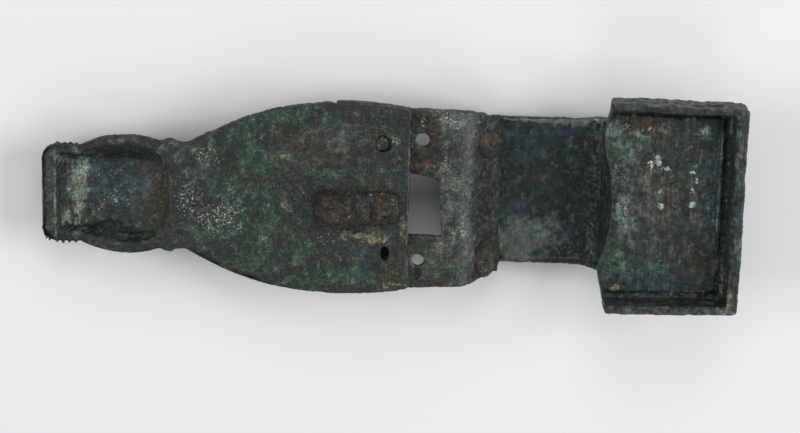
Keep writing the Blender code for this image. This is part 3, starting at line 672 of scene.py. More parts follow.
def closed_mesh(name, rings):
    """A closed mesh through a stack of rings: a grid of quads round them and a face at each end."""
    rows, count = rings.shape[:2]
    row, column = np.meshgrid(np.arange(rows - 1), np.arange(count), indexing="ij")
    after = (column + 1) % count
    quads = np.stack([row * count + column, row * count + after, (row + 1) * count + after,
                      (row + 1) * count + column], axis=2).reshape(-1, 4)
    ends = [list(range(count))[::-1], list(range((rows - 1) * count, rows * count))]
    mesh = bpy.data.meshes.new(name)
    mesh.from_pydata(rings.reshape(-1, 3), [], quads.tolist() + ends)
    bm = bmesh.new()
    bm.from_mesh(mesh)
    bmesh.ops.remove_doubles(bm, verts=bm.verts, dist=0.001)
    bmesh.ops.recalc_face_normals(bm, faces=bm.faces)
    bm.to_mesh(mesh)
    bm.free()
    return mesh


def place_object(name, mesh):
    """A new object at the origin, in the scene."""
    made = bpy.data.objects.new(name, mesh)
    bpy.context.scene.collection.objects.link(made)
    return made


def fused(name, rings, steps, cell):
    """One body of even cells: rings cut and joined with others in order by Booleans, then voxel-remeshed."""
    body = place_object(name + "_body", closed_mesh(name + "_body", rings))
    helpers = []
    for i, (operation, other) in enumerate(steps):
        helper = place_object(f"{name}_step_{i}", closed_mesh(f"{name}_step_{i}", other))
        boolean = body.modifiers.new(helper.name, "BOOLEAN")
        boolean.operation, boolean.solver, boolean.object = operation, "EXACT", helper
        helpers.append(helper)
    remesh = body.modifiers.new("cells", "REMESH")
    remesh.mode = "VOXEL"
    remesh.voxel_size = cell
    mesh = bpy.data.meshes.new_from_object(body.evaluated_get(bpy.context.evaluated_depsgraph_get()))
    mesh.name = name
    if len(mesh.vertices) < 100:
        raise RuntimeError(f"{name} came out empty")
    for helper in [body] + helpers:
        old = helper.data
        bpy.data.objects.remove(helper)
        bpy.data.meshes.remove(old)
    return mesh


class Surface:
    """Points, normals and edges of a mesh as whole arrays, to be weathered and stained."""

    def __init__(self, mesh, seed, cell):
        self.mesh, self.seed, self.cell = mesh, seed, cell
        self.points = np.empty(len(mesh.vertices) * 3)
        mesh.vertices.foreach_get("co", self.points)
        self.points = self.points.reshape(-1, 3)
        edges = np.empty(len(mesh.edges) * 2, np.int32)
        mesh.edges.foreach_get("vertices", edges)
        self.edges = edges.reshape(-1, 2)
        self.valence = np.bincount(edges, minlength=len(self.points)).clip(1)[:, None]
        self.layers = {}
        self.find_normals()

    def find_normals(self):
        """Vertex normals of the points as they are now."""
        self.mesh.vertices.foreach_set("co", self.points.ravel())
        self.mesh.update()
        normals = np.empty(len(self.points) * 3)
        self.mesh.vertex_normals.foreach_get("vector", normals)
        self.normals = normals.reshape(-1, 3)

    def neighbours(self, values):
        """Mean of each point's neighbours along the edges, for rows of values."""
        a, b = self.edges[:, 0], self.edges[:, 1]
        count = len(self.points)
        sums = [np.bincount(a, column[b], count) + np.bincount(b, column[a], count) for column in values.T]
        return np.stack(sums, axis=1) / self.valence

    def relax(self, rounds):
        """Each point goes half way to its neighbours' mean, some times over."""
        for _ in range(rounds):
            self.points = (self.points + self.neighbours(self.points)) / 2
        self.find_normals()

    def curvature(self, rounds):
        """How far each point stands out from its neighbours along the normal in mm, spread by averaging."""
        out = np.sum((self.points - self.neighbours(self.points)) * self.normals, axis=1)[:, None]
        for _ in range(rounds):
            out = (out + self.neighbours(out)) / 2
        return out[:, 0]

    def settle(self):
        """Rounds off the cells, and finds edges that stand out and concave corners, where shade is painted
        in.
        """
        self.relax(2)
        self.layers["edge"] = smooth(0.02, 0.15, self.curvature(4) / self.cell)
        self.layers["corner_shade"] = smooth(0.017, 0.13, -self.curvature(5) / self.cell)

    def lift(self, heights):
        """Moves the points up by heights in mm, as where a face is bevelled or dished."""
        self.points = self.points + np.outer(heights, (0.0, 0.0, 1.0))
        self.find_normals()

    def weather(self, sizes, pitted=1.0, edges=1.0):
        """Uneven casting, pits where rough noise is high, ragged worn edges, crusts on rust and malachite."""
        p, seed, layer = self.points, self.seed, self.layers
        pits = smooth(0.15, 0.75, rough(p, PIT_GRAIN, seed)) * pitted
        grain = rough(p, SKIN_GRAIN, seed + 20, 2)
        offset = sizes.swell / MM * rough(p, SWELL_GRAIN, seed + 30)
        offset -= sizes.pit_depth / MM * (pits + 0.35 * pitted * grain)
        nibbled = smooth(0.1, 0.7, rough(p, NIBBLE_GRAIN, seed + 10))
        nibbled += 0.6 * smooth(0.1, 0.6, rough(p, NIBBLE_GRAIN / 2, seed + 50, 2))
        nibbled = nibbled * smooth(0.75, 0.35, np.abs(self.normals[:, 2])) * edges
        offset -= 1.1 * sizes.wear_depth / MM * nibbled
        ragged = 0.35 + 0.9 * smooth(-0.2, 0.7, rough(p, EDGE_GRAIN, seed + 40))
        offset -= sizes.wear_depth / MM * layer["edge"] * ragged
        lumps = 0.45 + 0.55 * rough(p, LUMP_GRAIN, seed + 60)
        crust = np.maximum(layer.get("rust", 0.0), 0.6 * layer.get("ochre", 0.0)) * lumps
        crust = crust + 0.16 * layer.get("green", 0.0) * (0.6 + grain)
        crust = crust + 0.12 * layer.get("dust", 0.0) * np.maximum(grain, 0.0)
        offset += sizes.crust_height / MM * crust
        self.points = p + self.normals * offset[:, None]
        self.find_normals()

    def raise_layer(self, layer, values):
        """Adds to a stain layer, keeping the stronger of the two."""
        self.layers[layer] = np.maximum(self.layers.get(layer, 0.0), values)

    def stain(self, stains, facing=0.35):
        """Adds stains and painted light and shade: full inside each oval (x, y, reach x, reach y, strength),
        its rim ragged by noise.
        """
        p = self.points
        upward = smooth(facing - 0.25, facing + 0.25, self.normals[:, 2])
        for i, (layer, spots) in enumerate(stains.items()):
            rim = rough(p, STAIN_GRAIN, self.seed + 70 + i) * STAIN_RAGGED
            for x, y, reach_x, reach_y, strength in spots:
                far = np.hypot((p[:, 0] - x) / reach_x, (p[:, 1] - y) / reach_y) + rim
                self.raise_layer(layer, strength * smooth(*STAIN_FADE, far) * upward)

    def scatter(self, layer, size, low, high, strength, where=1.0):
        """Adds a stain wherever rough noise of this size rises from low to high."""
        field = rough(self.points, size, self.seed + 90 + sum(map(ord, layer)))
        self.raise_layer(layer, strength * smooth(low, high, field) * where)

    def age_front(self):
        """Plainer corrosion for the decorated front and the sides."""
        down = smooth(0.2, -0.3, self.normals[:, 2])
        for scattered in (("green", 6.0, 0.0, 0.5, 0.9), ("haze", 9.0, 0.0, 0.5, 0.8),
                          ("earth", 4.0, 0.3, 0.7, 0.8), ("dust", 5.0, 0.1, 0.7, 0.6)):
            self.scatter(*scattered, down)

    def finished(self, name, material, node):
        """Writes points and layers into the mesh and hands it over as the visible piece of a CAD node."""
        mesh = self.mesh
        mesh.vertices.foreach_set("co", to_world(self.points).ravel())
        for layer in LAYERS:
            values = np.zeros(len(self.points)) + self.layers.get(layer, 0.0)
            stain = mesh.attributes.new(layer, "FLOAT", "POINT")
            stain.data.foreach_set("value", values.astype(np.float32))
        mesh.update()
        mesh.shade_smooth()
        mesh.materials.clear()
        mesh.materials.append(material)
        piece = place_object(name, mesh)
        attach(piece, "root")
        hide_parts(node)


# Stains, painted highlights and painted shade that a surface may carry, and how the finishes draw them, from
# the lowest coat to the highest:
# grain in mm, how strongly the stain counts, the two levels between which it fades in, roughness, cover
LAYERS = {
    "bow": (2.5, 1.0, 0.60, 1.30, 0.42, 1.00),
    "haze": (2.6, 1.0, 0.75, 1.60, 0.48, 0.90),
    "green": (1.3, 1.0, 0.75, 1.65, 0.80, 0.95),
    "earth": (1.6, 1.0, 0.80, 1.65, 0.75, 0.90),
    # film: pale film, also used for painted highlights and sheen
    "film": (1.8, 1.0, 0.55, 1.45, 0.50, 1.00),
    "ochre": (1.1, 1.0, 0.85, 1.55, 0.85, 0.85),
    "blue": (0.8, 1.0, 0.90, 1.50, 0.75, 0.75),
    "edge": (0.8, 0.7, 0.85, 1.60, 0.42, 0.60),
    # worn: rubbed metal, also used for part of some painted highlights
    "worn": (1.6, 1.0, 0.75, 1.65, 0.42, 0.90),
    # corner_shade: painted shade in concave corners and creases, in the deep dirt colour
    "corner_shade": (1.2, 0.8, 0.70, 1.50, 0.90, 0.75),
    # soot: dark dirt, also used for painted shade in grooves, the slot, the bow's rise and the hollow's north
    # wall
    "soot": (0.8, 1.0, 0.80, 1.50, 0.90, 0.90),
    "rust": (1.0, 1.0, 0.75, 1.45, 0.90, 0.90),
    "orange": (0.8, 1.0, 0.95, 1.65, 0.90, 0.80),
    "dust": (0.45, 0.75, 1.10, 1.60, 0.95, 0.90),
    "paint": (0.6, 1.0, 1.00, 1.30, 0.80, 0.90),
}


# Ovals of the stains, painted highlights and painted shade on the back: x, y, reach along x and along y in
# mm, and strength
FOOT_STAINS_AND_PAINTED_LIGHT = {
    "green": ((-27.4, 8.8, 6.4, 5.2, 1), (-32.5, 15.9, 4.7, 3.3, 0.9), (-31.0, -13.9, 7.2, 2.4, 1),
        (-13.7, -16.9, 8.9, 2.6, 1), (-26.7, 2.4, 3.8, 2.4, 0.8), (-23.6, 18.4, 7.2, 2.0, 0.9),
        (-37.7, -7.7, 5.1, 2.0, 0.9), (-38.4, 10.4, 3.8, 3.1, 0.7), (-20.2, -11.1, 6.0, 4.4, 0.8),
        (-29.2, -6.9, 9.4, 6.1, 0.75), (-14.0, 6.1, 6.8, 1.5, 0.8), (-5.2, 14.7, 6.8, 1.7, 0.5),
        (-34.1, 2.9, 8.5, 8.7, 0.5), (-11.0, 18.9, 6.4, 1.7, 0.55), (-22.4, -3.4, 5.5, 5.2, 0.4),
        (-9.2, -3.0, 8.5, 15.3, 0.4)),
    "haze": ((-3.6, 7.6, 5.5, 1.7, 0.5), (0.8, 7.9, 2.8, 6.1, 0.55), (2.4, 2.5, 1.3, 6.1, 0.6),
        (-38.6, 2.8, 1.7, 2.0, 0.8), (-7.1, -14.8, 2.6, 4.4, 1), (-14.1, 17.3, 3.8, 1.7, 0.5),
        (-15.7, 6.5, 2.1, 1.1, 0.5), (-10.3, -12.2, 2.6, 2.2, 0.5)),
    "blue": ((-6.9, -16.1, 1.5, 2.8, 0.55), (-42.2, 5.1, 1.1, 1.1, 0.55), (-6.0, -13.4, 1.1, 1.1, 0.4)),
    "earth": ((-18.7, 11.0, 7.2, 4.4, 0.95), (-15.7, 9.1, 3.8, 2.2, 0.8), (-11.0, 15.8, 2.6, 2.2, 0.5),
        (0.0, -16.6, 4.7, 2.6, 0.9), (2.0, -8.4, 1.9, 6.1, 0.8), (-4.4, 4.3, 7.7, 1.3, 0.8),
        (0.5, 2.4, 1.7, 2.2, 0.8), (-2.7, -7.0, 3.0, 1.3, 0.9), (-22.4, 1.6, 4.3, 3.1, 0.5),
        (0.8, -13.3, 3.2, 4.8, 0.7), (-18.1, -1.6, 2.1, 4.8, 0.4), (-7.1, 12.9, 1.3, 3.9, 0.7),
        (-20.2, -6.2, 3.4, 2.2, 0.4)),
    "ochre": ((-8.1, -7.5, 4.0, 1.1, 1), (-4.8, -8.4, 2.1, 1.1, 0.8), (0.0, -18.4, 4.3, 1.3, 0.62),
        (1.9, -5.4, 1.5, 3.1, 0.55), (0.2, -15.6, 2.8, 2.2, 0.45)),
    # The last worn oval, along the broken end at x 3, is partly rubbed metal and partly a painted highlight
    # on that edge.
    "worn": ((-12.4, 12.8, 3.8, 5.2, 0.7), (-46.8, 10.2, 3.8, 2.8, 0.5), (-41.5, 5.5, 3.6, 2.2, 0.6),
        (3.1, 0.0, 0.5, 22.0, 1.4)),
    "dust": ((-37.7, -4.6, 5.5, 3.9, 0.85), (-43.9, 1.2, 3.6, 4.4, 0.8), (-39.6, 8.4, 3.2, 2.2, 0.8),
        (-43.7, -3.9, 3.8, 4.8, 0.7), (-34.7, -1.5, 5.5, 6.6, 0.5), (-18.5, -9.7, 1.7, 1.5, 0.7),
        (-14.7, -8.1, 1.9, 1.7, 0.7), (-20.3, 2.0, 5.5, 3.9, 0.4), (-8.1, -7.5, 3.0, 0.9, 0.5),
        (-33.1, 16.9, 7.2, 2.2, 0.3), (-10.8, 5.5, 3.8, 1.1, 0.6), (-0.1, 13.0, 1.1, 0.9, 0.9)),
    "orange": ((-41.8, 7.5, 1.1, 0.8, 1), (-16.8, 8.8, 1.9, 0.7, 0.5), (-17.5, 12.9, 1.3, 0.9, 0.4),
        (-1.6, -0.9, 0.9, 2.0, 0.4)),
    "soot": ((-1.6, 11.9, 0.6, 1.5, 1), (-22.8, 1.6, 3.2, 2.4, 0.4), (-9.6, -6.5, 6.4, 0.7, 0.6),
        (-1.8, -11.6, 2.3, 2.4, 0.35)),
}
TERMINAL_STAINS_AND_PAINTED_LIGHT = {
    "haze": ((-60.1, -0.3, 8.1, 6.6, 0.9),),
    "green": ((-70.9, -0.7, 1.0, 7.9, 0.45), (-54.6, -7.2, 4.3, 1.7, 0.5)),
    # The film ovals at x -72.3 and x -61.5 are painted highlights, along the inner edge of the end rim and
    # along the upper rim.
    "film": ((-67.9, 0.8, 1.7, 7.4, 1.25), (-70.4, 7.6, 1.3, 1.2, 0.8), (-70.2, -5.4, 1.3, 1.5, 0.9),
        (-63.0, 0.6, 4.0, 6.0, 0.15), (-72.3, 0.3, 0.2, 9.0, 0.9), (-61.5, 12.0, 5.0, 0.7, 0.2)),
    "ochre": ((-67.4, -1.0, 1.8, 6.0, 0.72),),
    "dust": ((-68.2, 0.5, 2.2, 8.0, 0.5), (-60.7, -1.9, 3.0, 2.6, 0.7), (-66.7, 6.7, 1.7, 0.9, 0.8),
        (-62.4, 3.9, 2.6, 1.3, 0.6)),
    # The second soot oval is painted shade on the north wall of the hollow.
    "soot": ((-70.9, 0.6, 0.8, 8.0, 0.45), (-62.0, 9.6, 12.0, 0.9, 0.4)),
    "blue": ((-66.1, 3.1, 1.5, 0.9, 0.6), (-57.3, 6.8, 1.3, 0.9, 0.4)),
    "earth": ((-50.6, -0.1, 2.1, 7.9, 0.85), (-48.5, -0.2, 1.1, 6.1, 1.1), (-52.4, -7.3, 3.4, 1.7, 0.7),
        (-60.4, 10.0, 10.6, 1.1, 0.5)),
    "worn": ((-73.9, 1.0, 1.4, 10.5, 0.4), (-61.6, 12.5, 11.1, 1.3, 0.4), (-60.7, -10.7, 10.6, 1.3, 0.4),
        (-47.5, 11.3, 2.1, 1.7, 0.5)),
}
PLATE_STAINS_AND_PAINTED_LIGHT = {
    "green": ((7.8, 17.7, 3.4, 1.5, 0.95), (16.1, 7.3, 1.9, 3.1, 0.7), (9.8, -15.0, 4.7, 2.6, 0.85),
        (6.5, -11.6, 2.8, 2.2, 0.6), (17.5, -12.2, 2.1, 2.6, 0.7), (14.6, -15.8, 3.0, 1.7, 0.7)),
    # The film and worn ovals at x 11 to 13, just short of the bend, are partly pale film and rubbed metal and
    # partly a painted highlight along the bend.
    "film": ((12.0, 17.2, 2.4, 2.2, 0.7), (12.2, 2.6, 2.4, 5.5, 0.4), (13.0, -6.2, 2.6, 3.5, 0.35)),
    "worn": ((11.4, 3.0, 2.6, 7.4, 0.6), (12.0, -5.7, 2.4, 3.5, 0.55), (11.7, 16.9, 3.0, 2.2, 0.6)),
    "rust": ((6.2, 14.2, 3.2, 3.9, 1), (5.9, 9.0, 3.6, 3.1, 1), (4.5, 16.3, 1.9, 1.5, 0.8)),
    "orange": ((6.8, 15.1, 1.1, 2.0, 0.8), (7.4, 8.2, 2.3, 1.1, 1), (4.9, 7.0, 2.1, 0.9, 0.9),
        (8.0, 11.7, 1.1, 1.1, 0.5)),
    # The first soot oval is painted shade on the plate where it is seen down the foot's slot.
    "soot": ((-2.1, -11.5, 1.6, 2.4, 1.6), (3.6, 6.4, 1.3, 0.7, 1), (4.9, -16.7, 0.9, 1.7, 1),
        (3.1, 10.7, 0.4, 4.8, 0.6)),
    "dust": ((10.4, 8.0, 1.5, 2.8, 1), (12.1, 17.3, 2.6, 2.0, 0.9), (12.4, -6.8, 3.6, 2.6, 0.7),
        (5.7, 16.8, 1.1, 1.1, 0.7), (11.8, 1.7, 3.2, 5.7, 0.5), (4.2, -13.8, 1.1, 1.5, 0.8)),
    "haze": ((17.7, -18.4, 3.0, 1.3, 0.8), (14.5, -9.2, 2.1, 4.4, 0.5)),
    "earth": ((20.3, 1.5, 1.7, 7.0, 0.8), (21.3, -6.4, 1.3, 3.9, 0.7), (19.7, 7.2, 2.1, 1.7, 0.7)),
}
SLOPE_STAINS = {
    "rust": ((19.6, 12.3, 2.8, 4.1, 0.75), (20.5, -14.1, 3.4, 5.2, 1)),
    "orange": ((19.9, 14.7, 1.1, 1.7, 0.7),),
    "soot": ((18.8, 0.0, 2.5, 13.0, 0.85),),
}
# In the bow, the haze, worn, film and dust ovals round x 27 to 32, y -9 to -11 are partly pale patina and
# partly a painted sheen on its lower side.
BOW_STAINS_AND_PAINTED_LIGHT = {
    "bow": ((34.1, 0.6, 14.0, 19.7, 1.3),),
    "haze": ((26.9, -10.4, 5.1, 4.4, 1), (25.4, -3.6, 4.8, 3.0, 1.1), (31.6, -9.0, 7.2, 4.8, 0.75),
        (29.0, 10.5, 9.0, 4.5, 0.8), (34.0, 12.5, 8.0, 4.0, 0.75), (33.0, 3.0, 9.0, 5.0, 0.5),
        (38.1, -8.7, 1.9, 2.0, 0.9), (25.7, 13.7, 3.4, 2.2, 0.5)),
    "worn": ((27.5, -10.5, 6.5, 5.5, 0.8),),
    # The last film oval, and the last dust oval, run along the bow's upper rim: partly pale film, partly a
    # painted highlight from the lamp beyond.
    "film": ((26.5, -11.0, 4.6, 4.6, 1.05), (31.5, -9.5, 6.5, 3.6, 0.55), (35.0, 16.5, 20.0, 1.3, 2.1)),
    # The soot oval at x 43 is painted shade where the bow rises steeply under the head-plate's near edge.
    "soot": ((43.0, 1.0, 2.0, 17.0, 0.75),),
    "blue": ((25.0, -3.4, 4.0, 1.6, 0.75), (37.4, 13.9, 1.7, 1.1, 1), (38.5, 12.9, 1.3, 1.1, 0.9),
        (24.6, -1.6, 2.1, 0.9, 0.5), (38.1, -8.2, 1.3, 1.5, 0.5), (22.7, 12.6, 1.3, 2.2, 0.4)),
    "dust": ((27.2, -10.4, 5.6, 4.4, 0.4), (37.6, 12.4, 0.6, 0.4, 1), (36.1, -12.3, 6.8, 1.3, 0.6),
        (25.7, 15.0, 1.9, 0.9, 0.6), (24.6, -8.9, 1.7, 3.5, 0.5), (35.0, 16.7, 16.0, 0.9, 1.0)),
    "green": ((38.3, 6.5, 2.8, 3.5, 0.5), (28.5, 6.7, 5.5, 2.6, 0.3), (43.0, 1.0, 2.4, 17.0, 0.75)),
    "earth": ((24.8, 0.4, 0.9, 1.1, 0.6), (35.8, -4.9, 3.0, 2.2, 0.4)),
}
HEAD_STAINS_AND_PAINTED_LIGHT = {
    "green": ((45.8, 12.6, 2.8, 6.1, 1), (49.7, 15.3, 5.1, 3.7, 0.9), (46.7, -12.2, 3.6, 4.8, 0.85),
        (52.3, -7.5, 2.1, 3.7, 0.6), (53.6, -12.3, 2.6, 2.6, 0.5), (48.8, 5.5, 3.4, 6.6, 0.45)),
    "haze": ((66.9, 3.9, 3.6, 14.4, 0.85), (56.9, -16.2, 7.7, 3.7, 1.0), (54.5, 16.5, 8.5, 2.2, 0.55),
        (65.5, -17.1, 4.3, 2.6, 0.5), (52.8, -20.7, 12.8, 4.4, 0.4)),
    "dust": ((47.4, 9.0, 2.0, 9.0, 0.55), (48.2, -1.0, 1.5, 5.7, 1), (50.5, 9.9, 3.2, 1.7, 0.6),
        (46.0, 2.2, 1.7, 3.3, 0.7), (57.2, 3.5, 4.7, 6.6, 0.5), (63.5, -5.1, 2.6, 4.4, 0.6),
        (65.5, -16.7, 3.4, 1.3, 0.5)),
    # The last film oval is a painted highlight along the panel's edge by the far wall.
    "film": ((48.8, -2.0, 2.2, 7.0, 0.6), (48.6, 10.5, 3.6, 5.0, 0.3), (68.9, -1.0, 0.3, 18.5, 1.4)),
    "worn": ((52.6, -1.5, 5.6, 8.5, 0.6), (55.0, 0.0, 9.0, 15.0, 0.25), (56.8, 8.3, 3.4, 3.5, 0.45),
        (62.7, -1.8, 3.0, 6.6, 0.5), (50.3, 10.3, 3.0, 2.2, 0.5)),
    "earth": ((56.6, 0.7, 3.8, 7.0, 0.75), (58.6, 5.7, 3.0, 2.6, 0.55), (64.5, -13.4, 3.2, 1.7, 0.85),
        (66.1, -10.3, 1.9, 1.7, 0.75), (54.4, -5.7, 1.9, 3.1, 0.5), (59.1, -6.5, 2.6, 3.1, 0.5)),
    "ochre": ((70.6, -19.0, 1.3, 3.9, 1), (65.3, 16.7, 1.3, 1.5, 0.75), (46.9, -18.4, 1.7, 0.9, 1),
        (63.5, -19.2, 4.7, 0.9, 0.7)),
    "paint": ((55.6, 10.0, 0.6, 1.0, 1), (57.4, 8.1, 1.0, 0.5, 1), (54.0, 9.1, 0.7, 0.7, 0.8),
        (62.9, 7.6, 0.9, 0.5, 1), (63.9, 5.6, 0.4, 0.8, 0.9), (62.8, 0.6, 0.7, 0.7, 0.9),
        (56.3, 3.1, 0.9, 0.5, 0.9), (56.3, 0.0, 0.6, 0.7, 0.9), (63.1, 3.6, 0.6, 0.5, 0.9)),
    # Both soot ovals are painted shade, along the groove inside the south wall and along the groove by the
    # far wall.
    "soot": ((56.0, -20.8, 15.0, 1.1, 0.55), (70.6, 1.0, 1.2, 22.0, 0.85)),
}
WALL_STAINS_AND_PAINTED_LIGHT = {
    "rust": ((52.6, 17.8, 4.6, 2.0, 1.3),),
    "orange": ((52.8, 17.6, 4.2, 1.5, 0.85),),
    # The soot oval is painted shade on the far wall's inner face and in the groove below it.
    "soot": ((70.4, 0.5, 0.8, 20.5, 0.8),),
    "haze": ((71.3, 3.0, 2.1, 24.0, 0.7), (60.7, -20.1, 17.0, 1.7, 0.6)),
    # The film and worn ovals at y 24 on the north wall's outer face are partly pale film and rubbed metal and
    # partly a painted highlight from the lamp beyond.
    "film": ((58.8, 24.6, 17.0, 0.8, 0.8),),
    "worn": ((58.8, 24.1, 17.0, 1.5, 0.7), (57.0, -22.0, 17.0, 1.5, 0.8), (72.7, 0.8, 1.1, 21.8, 0.3)),
    "green": ((49.7, 22.6, 2.6, 0.9, 0.9), (72.5, -8.9, 1.3, 1.3, 0.7)),
    "earth": ((50.9, 24.3, 3.4, 0.7, 0.8), (45.7, 23.0, 1.7, 1.5, 0.8), (71.1, 12.4, 1.1, 0.9, 0.9),
        (72.0, -11.7, 1.3, 2.2, 0.4)),
    "dust": ((45.5, 24.2, 1.7, 0.9, 0.9), (58.8, 24.7, 8.5, 0.4, 0.5), (72.5, -9.6, 1.1, 0.9, 0.8)),
}


def add(tree, kind, inputs=None, **settings):
    """Adds one node: settings are its properties, inputs its values or the sockets that feed them."""
    made = tree.nodes.new(kind)
    for key, value in settings.items():
        setattr(made, key, value)
    for key, value in (inputs or {}).items():
        if isinstance(value, bpy.types.NodeSocket):
            tree.links.new(value, made.inputs[key])
        else:
            made.inputs[key].default_value = value
    return made


def field(tree, place, size, detail=2.0):
    """Rough noise of a real size in mm (one, or three for a drawn-out grain), spread over 0 to 1."""
    scaled = add(tree, "ShaderNodeVectorMath", {0: place, 1: [1 / (s * MM) for s in np.resize(size, 3)]},
                 operation="MULTIPLY").outputs[0]
    found = add(tree, "ShaderNodeTexNoise", {"Vector": scaled, "Scale": 1.0, "Detail": detail,
                                             "Roughness": 0.65}).outputs["Fac"]
    return add(tree, "ShaderNodeMapRange", {"Value": found, "From Min": 0.3, "From Max": 0.7}).outputs[0]


def patina(name, base, coats, roughness, patchy=1.2, grainy=2.4, filed=1.0, relief=0.07):
    """Corroded metal: each coat lies where its stain and a noise of its own grain add up to its level. Over
    all of them a grain of three sizes and the file marks make the tone 2 to the power of their sum as bright.
    The eye sees mineral and no bare metal, so nothing is metallic and the IOR keeps its default."""
    material = bpy.data.materials.new(name)
    material.use_nodes = True
    tree = material.node_tree
    tree.nodes.clear()
    place = add(tree, "ShaderNodeTexCoord").outputs["Object"]
    cloud, patch, fleck = field(tree, place, CLOUD, 4.0), field(tree, place, PATCH), field(tree, place, FLECK)
    tone = add(tree, "ShaderNodeRGB").outputs[0]
    tone.default_value = base
    gloss = add(tree, "ShaderNodeMapRange", {"Value": cloud, "To Min": roughness - SHINIER,
                                             "To Max": roughness + DULLER}).outputs[0]
    for i, (layer, colour) in enumerate(coats.items()):
        grain, gain, low, high, coat_roughness, cover = LAYERS[layer]
        stain = add(tree, "ShaderNodeAttribute", attribute_name=layer).outputs["Fac"]
        # Each coat has its own part of the noise, so that coats of one grain don't fall together
        shifted = add(tree, "ShaderNodeVectorMath",
                      {0: place, 1: (0.013 * (i + 1), 0.007 * i, 0.0)}).outputs[0]
        level = add(tree, "ShaderNodeMath", {0: stain, 1: gain, 2: field(tree, shifted, grain)},
                    operation="MULTIPLY_ADD").outputs[0]
        level = add(tree, "ShaderNodeMapRange", {"Value": level, "From Min": low, "From Max": high,
                                                 "To Max": cover}, interpolation_type="SMOOTHSTEP").outputs[0]
        tone = add(tree, "ShaderNodeMix", {0: level, 6: tone, 7: colour}, data_type="RGBA").outputs[2]
        gloss = add(tree, "ShaderNodeMix", {0: level, 2: gloss, 3: coat_roughness}).outputs[0]
    total = -0.5 * (CLOUD_WEIGHT + patchy + grainy + filed)
    for grain, weight in ((cloud, CLOUD_WEIGHT), (patch, patchy), (fleck, grainy),
                          (field(tree, place, FILE_MARKS), filed)):
        total = add(tree, "ShaderNodeMath", {0: grain, 1: weight, 2: total},
                    operation="MULTIPLY_ADD").outputs[0]
    # The rubbed metal and the patina inside the bow are smoother, so the grain counts for less there
    for layer in ("worn", "bow"):
        rubbed = add(tree, "ShaderNodeAttribute", attribute_name=layer).outputs["Fac"]
        rubbed = add(tree, "ShaderNodeMapRange", {"Value": rubbed, "To Min": 1.0,
                                                  "To Max": RUBBED_GRAIN}).outputs[0]
        total = add(tree, "ShaderNodeMath", {0: total, 1: rubbed}, operation="MULTIPLY").outputs[0]
    bright = add(tree, "ShaderNodeMath", {0: 2.0, 1: total}, operation="POWER").outputs[0]
    cast = add(tree, "ShaderNodeMix", {0: field(tree, place, CAST), 6: COOL_CAST, 7: WARM_CAST},
               data_type="RGBA").outputs[2]
    tone = add(tree, "ShaderNodeVectorMath", {0: tone, 1: cast}, operation="MULTIPLY").outputs[0]
    tone = add(tree, "ShaderNodeVectorMath", {0: tone, "Scale": bright}, operation="SCALE").outputs[0]
    height = add(tree, "ShaderNodeMath", {0: fleck, 1: FLECK_HEIGHT, 2: patch},
                 operation="MULTIPLY_ADD").outputs[0]
    bump = add(tree, "ShaderNodeBump", {"Height": height, "Strength": 1.0, "Distance": relief * MM})
    shader = add(tree, "ShaderNodeBsdfPrincipled", {"Base Color": tone, "Roughness": gloss,
                                                    "Normal": bump.outputs[0]})
    add(tree, "ShaderNodeOutputMaterial", {"Surface": shader.outputs[0]})
    return material


def coats_of(colours, *layers):
    """Colour of each coat that a finish draws: the scene's colour of that name, or the one it shares."""
    shared = {"green": "malachite", "blue": "azurite", "edge": "worn", "corner_shade": "soot",
              "orange": "bright_rust", "paint": "dust"}
    return {layer: list(getattr(colours, shared.get(layer, layer))) for layer in LAYERS if layer in layers}


FULL_COAT = [layer for layer in LAYERS if layer not in ("bow", "paint")]
IRON_COAT = ("haze", "earth", "green", "edge", "corner_shade", "orange", "soot", "dust")


def iron_material(colours):
    """Wrought iron turned to rust: a rough brown crust without shine, orange where it is fresh."""
    name = "wrought_iron_rusted"
    coats = coats_of(colours, *IRON_COAT)
    return bpy.data.materials.get(name) or patina(name, list(colours.rust), coats, 0.8, 1.9, 2.8, 0.6, 0.14)


def foot_wear(p, normals):
    """Lowered and raised places of the back: bevelled rims, a dish at the rivet, a ring at the slot."""
    x, y = p[:, 0], p[:, 1]
    from_edge = foot_half_width(x) - np.abs(y - foot_axis(x))
    back = smooth(0.2, 0.6, normals[:, 2]) * smooth(-1.5, -0.5, p[:, 2])
    wander = 0.3 * rough(p, BEVEL_GRAIN, seed=401)
    low = -FOOT_BEVEL * smooth(1.7, 0.1, from_edge + wander)
    low = low * smooth(-46.0, -43.0, x) * smooth(-24.0, -29.0, x) * (y < 0.0)
    low -= SNOUT_BEVEL * smooth(HOLLOW_LEFT_X, TERMINAL_END_X, x)
    low -= RIM_BEVEL * smooth(HOLLOW_RIM, 0.2, from_edge + wander) * smooth(-47.5, -51.0, x)
    low -= RIVET_DISH * bell(np.hypot(x - FOOT_RIVET[0], y - FOOT_RIVET[1]), 1.9)
    low += SLOT_LIP * bell(np.hypot(x - SLOT[0], y - SLOT[1]) - 2.6, 0.35)
    low += BREAK_LIP * smooth(0.9, 0.3, FOOT_BREAK_X - x)
    return low * back


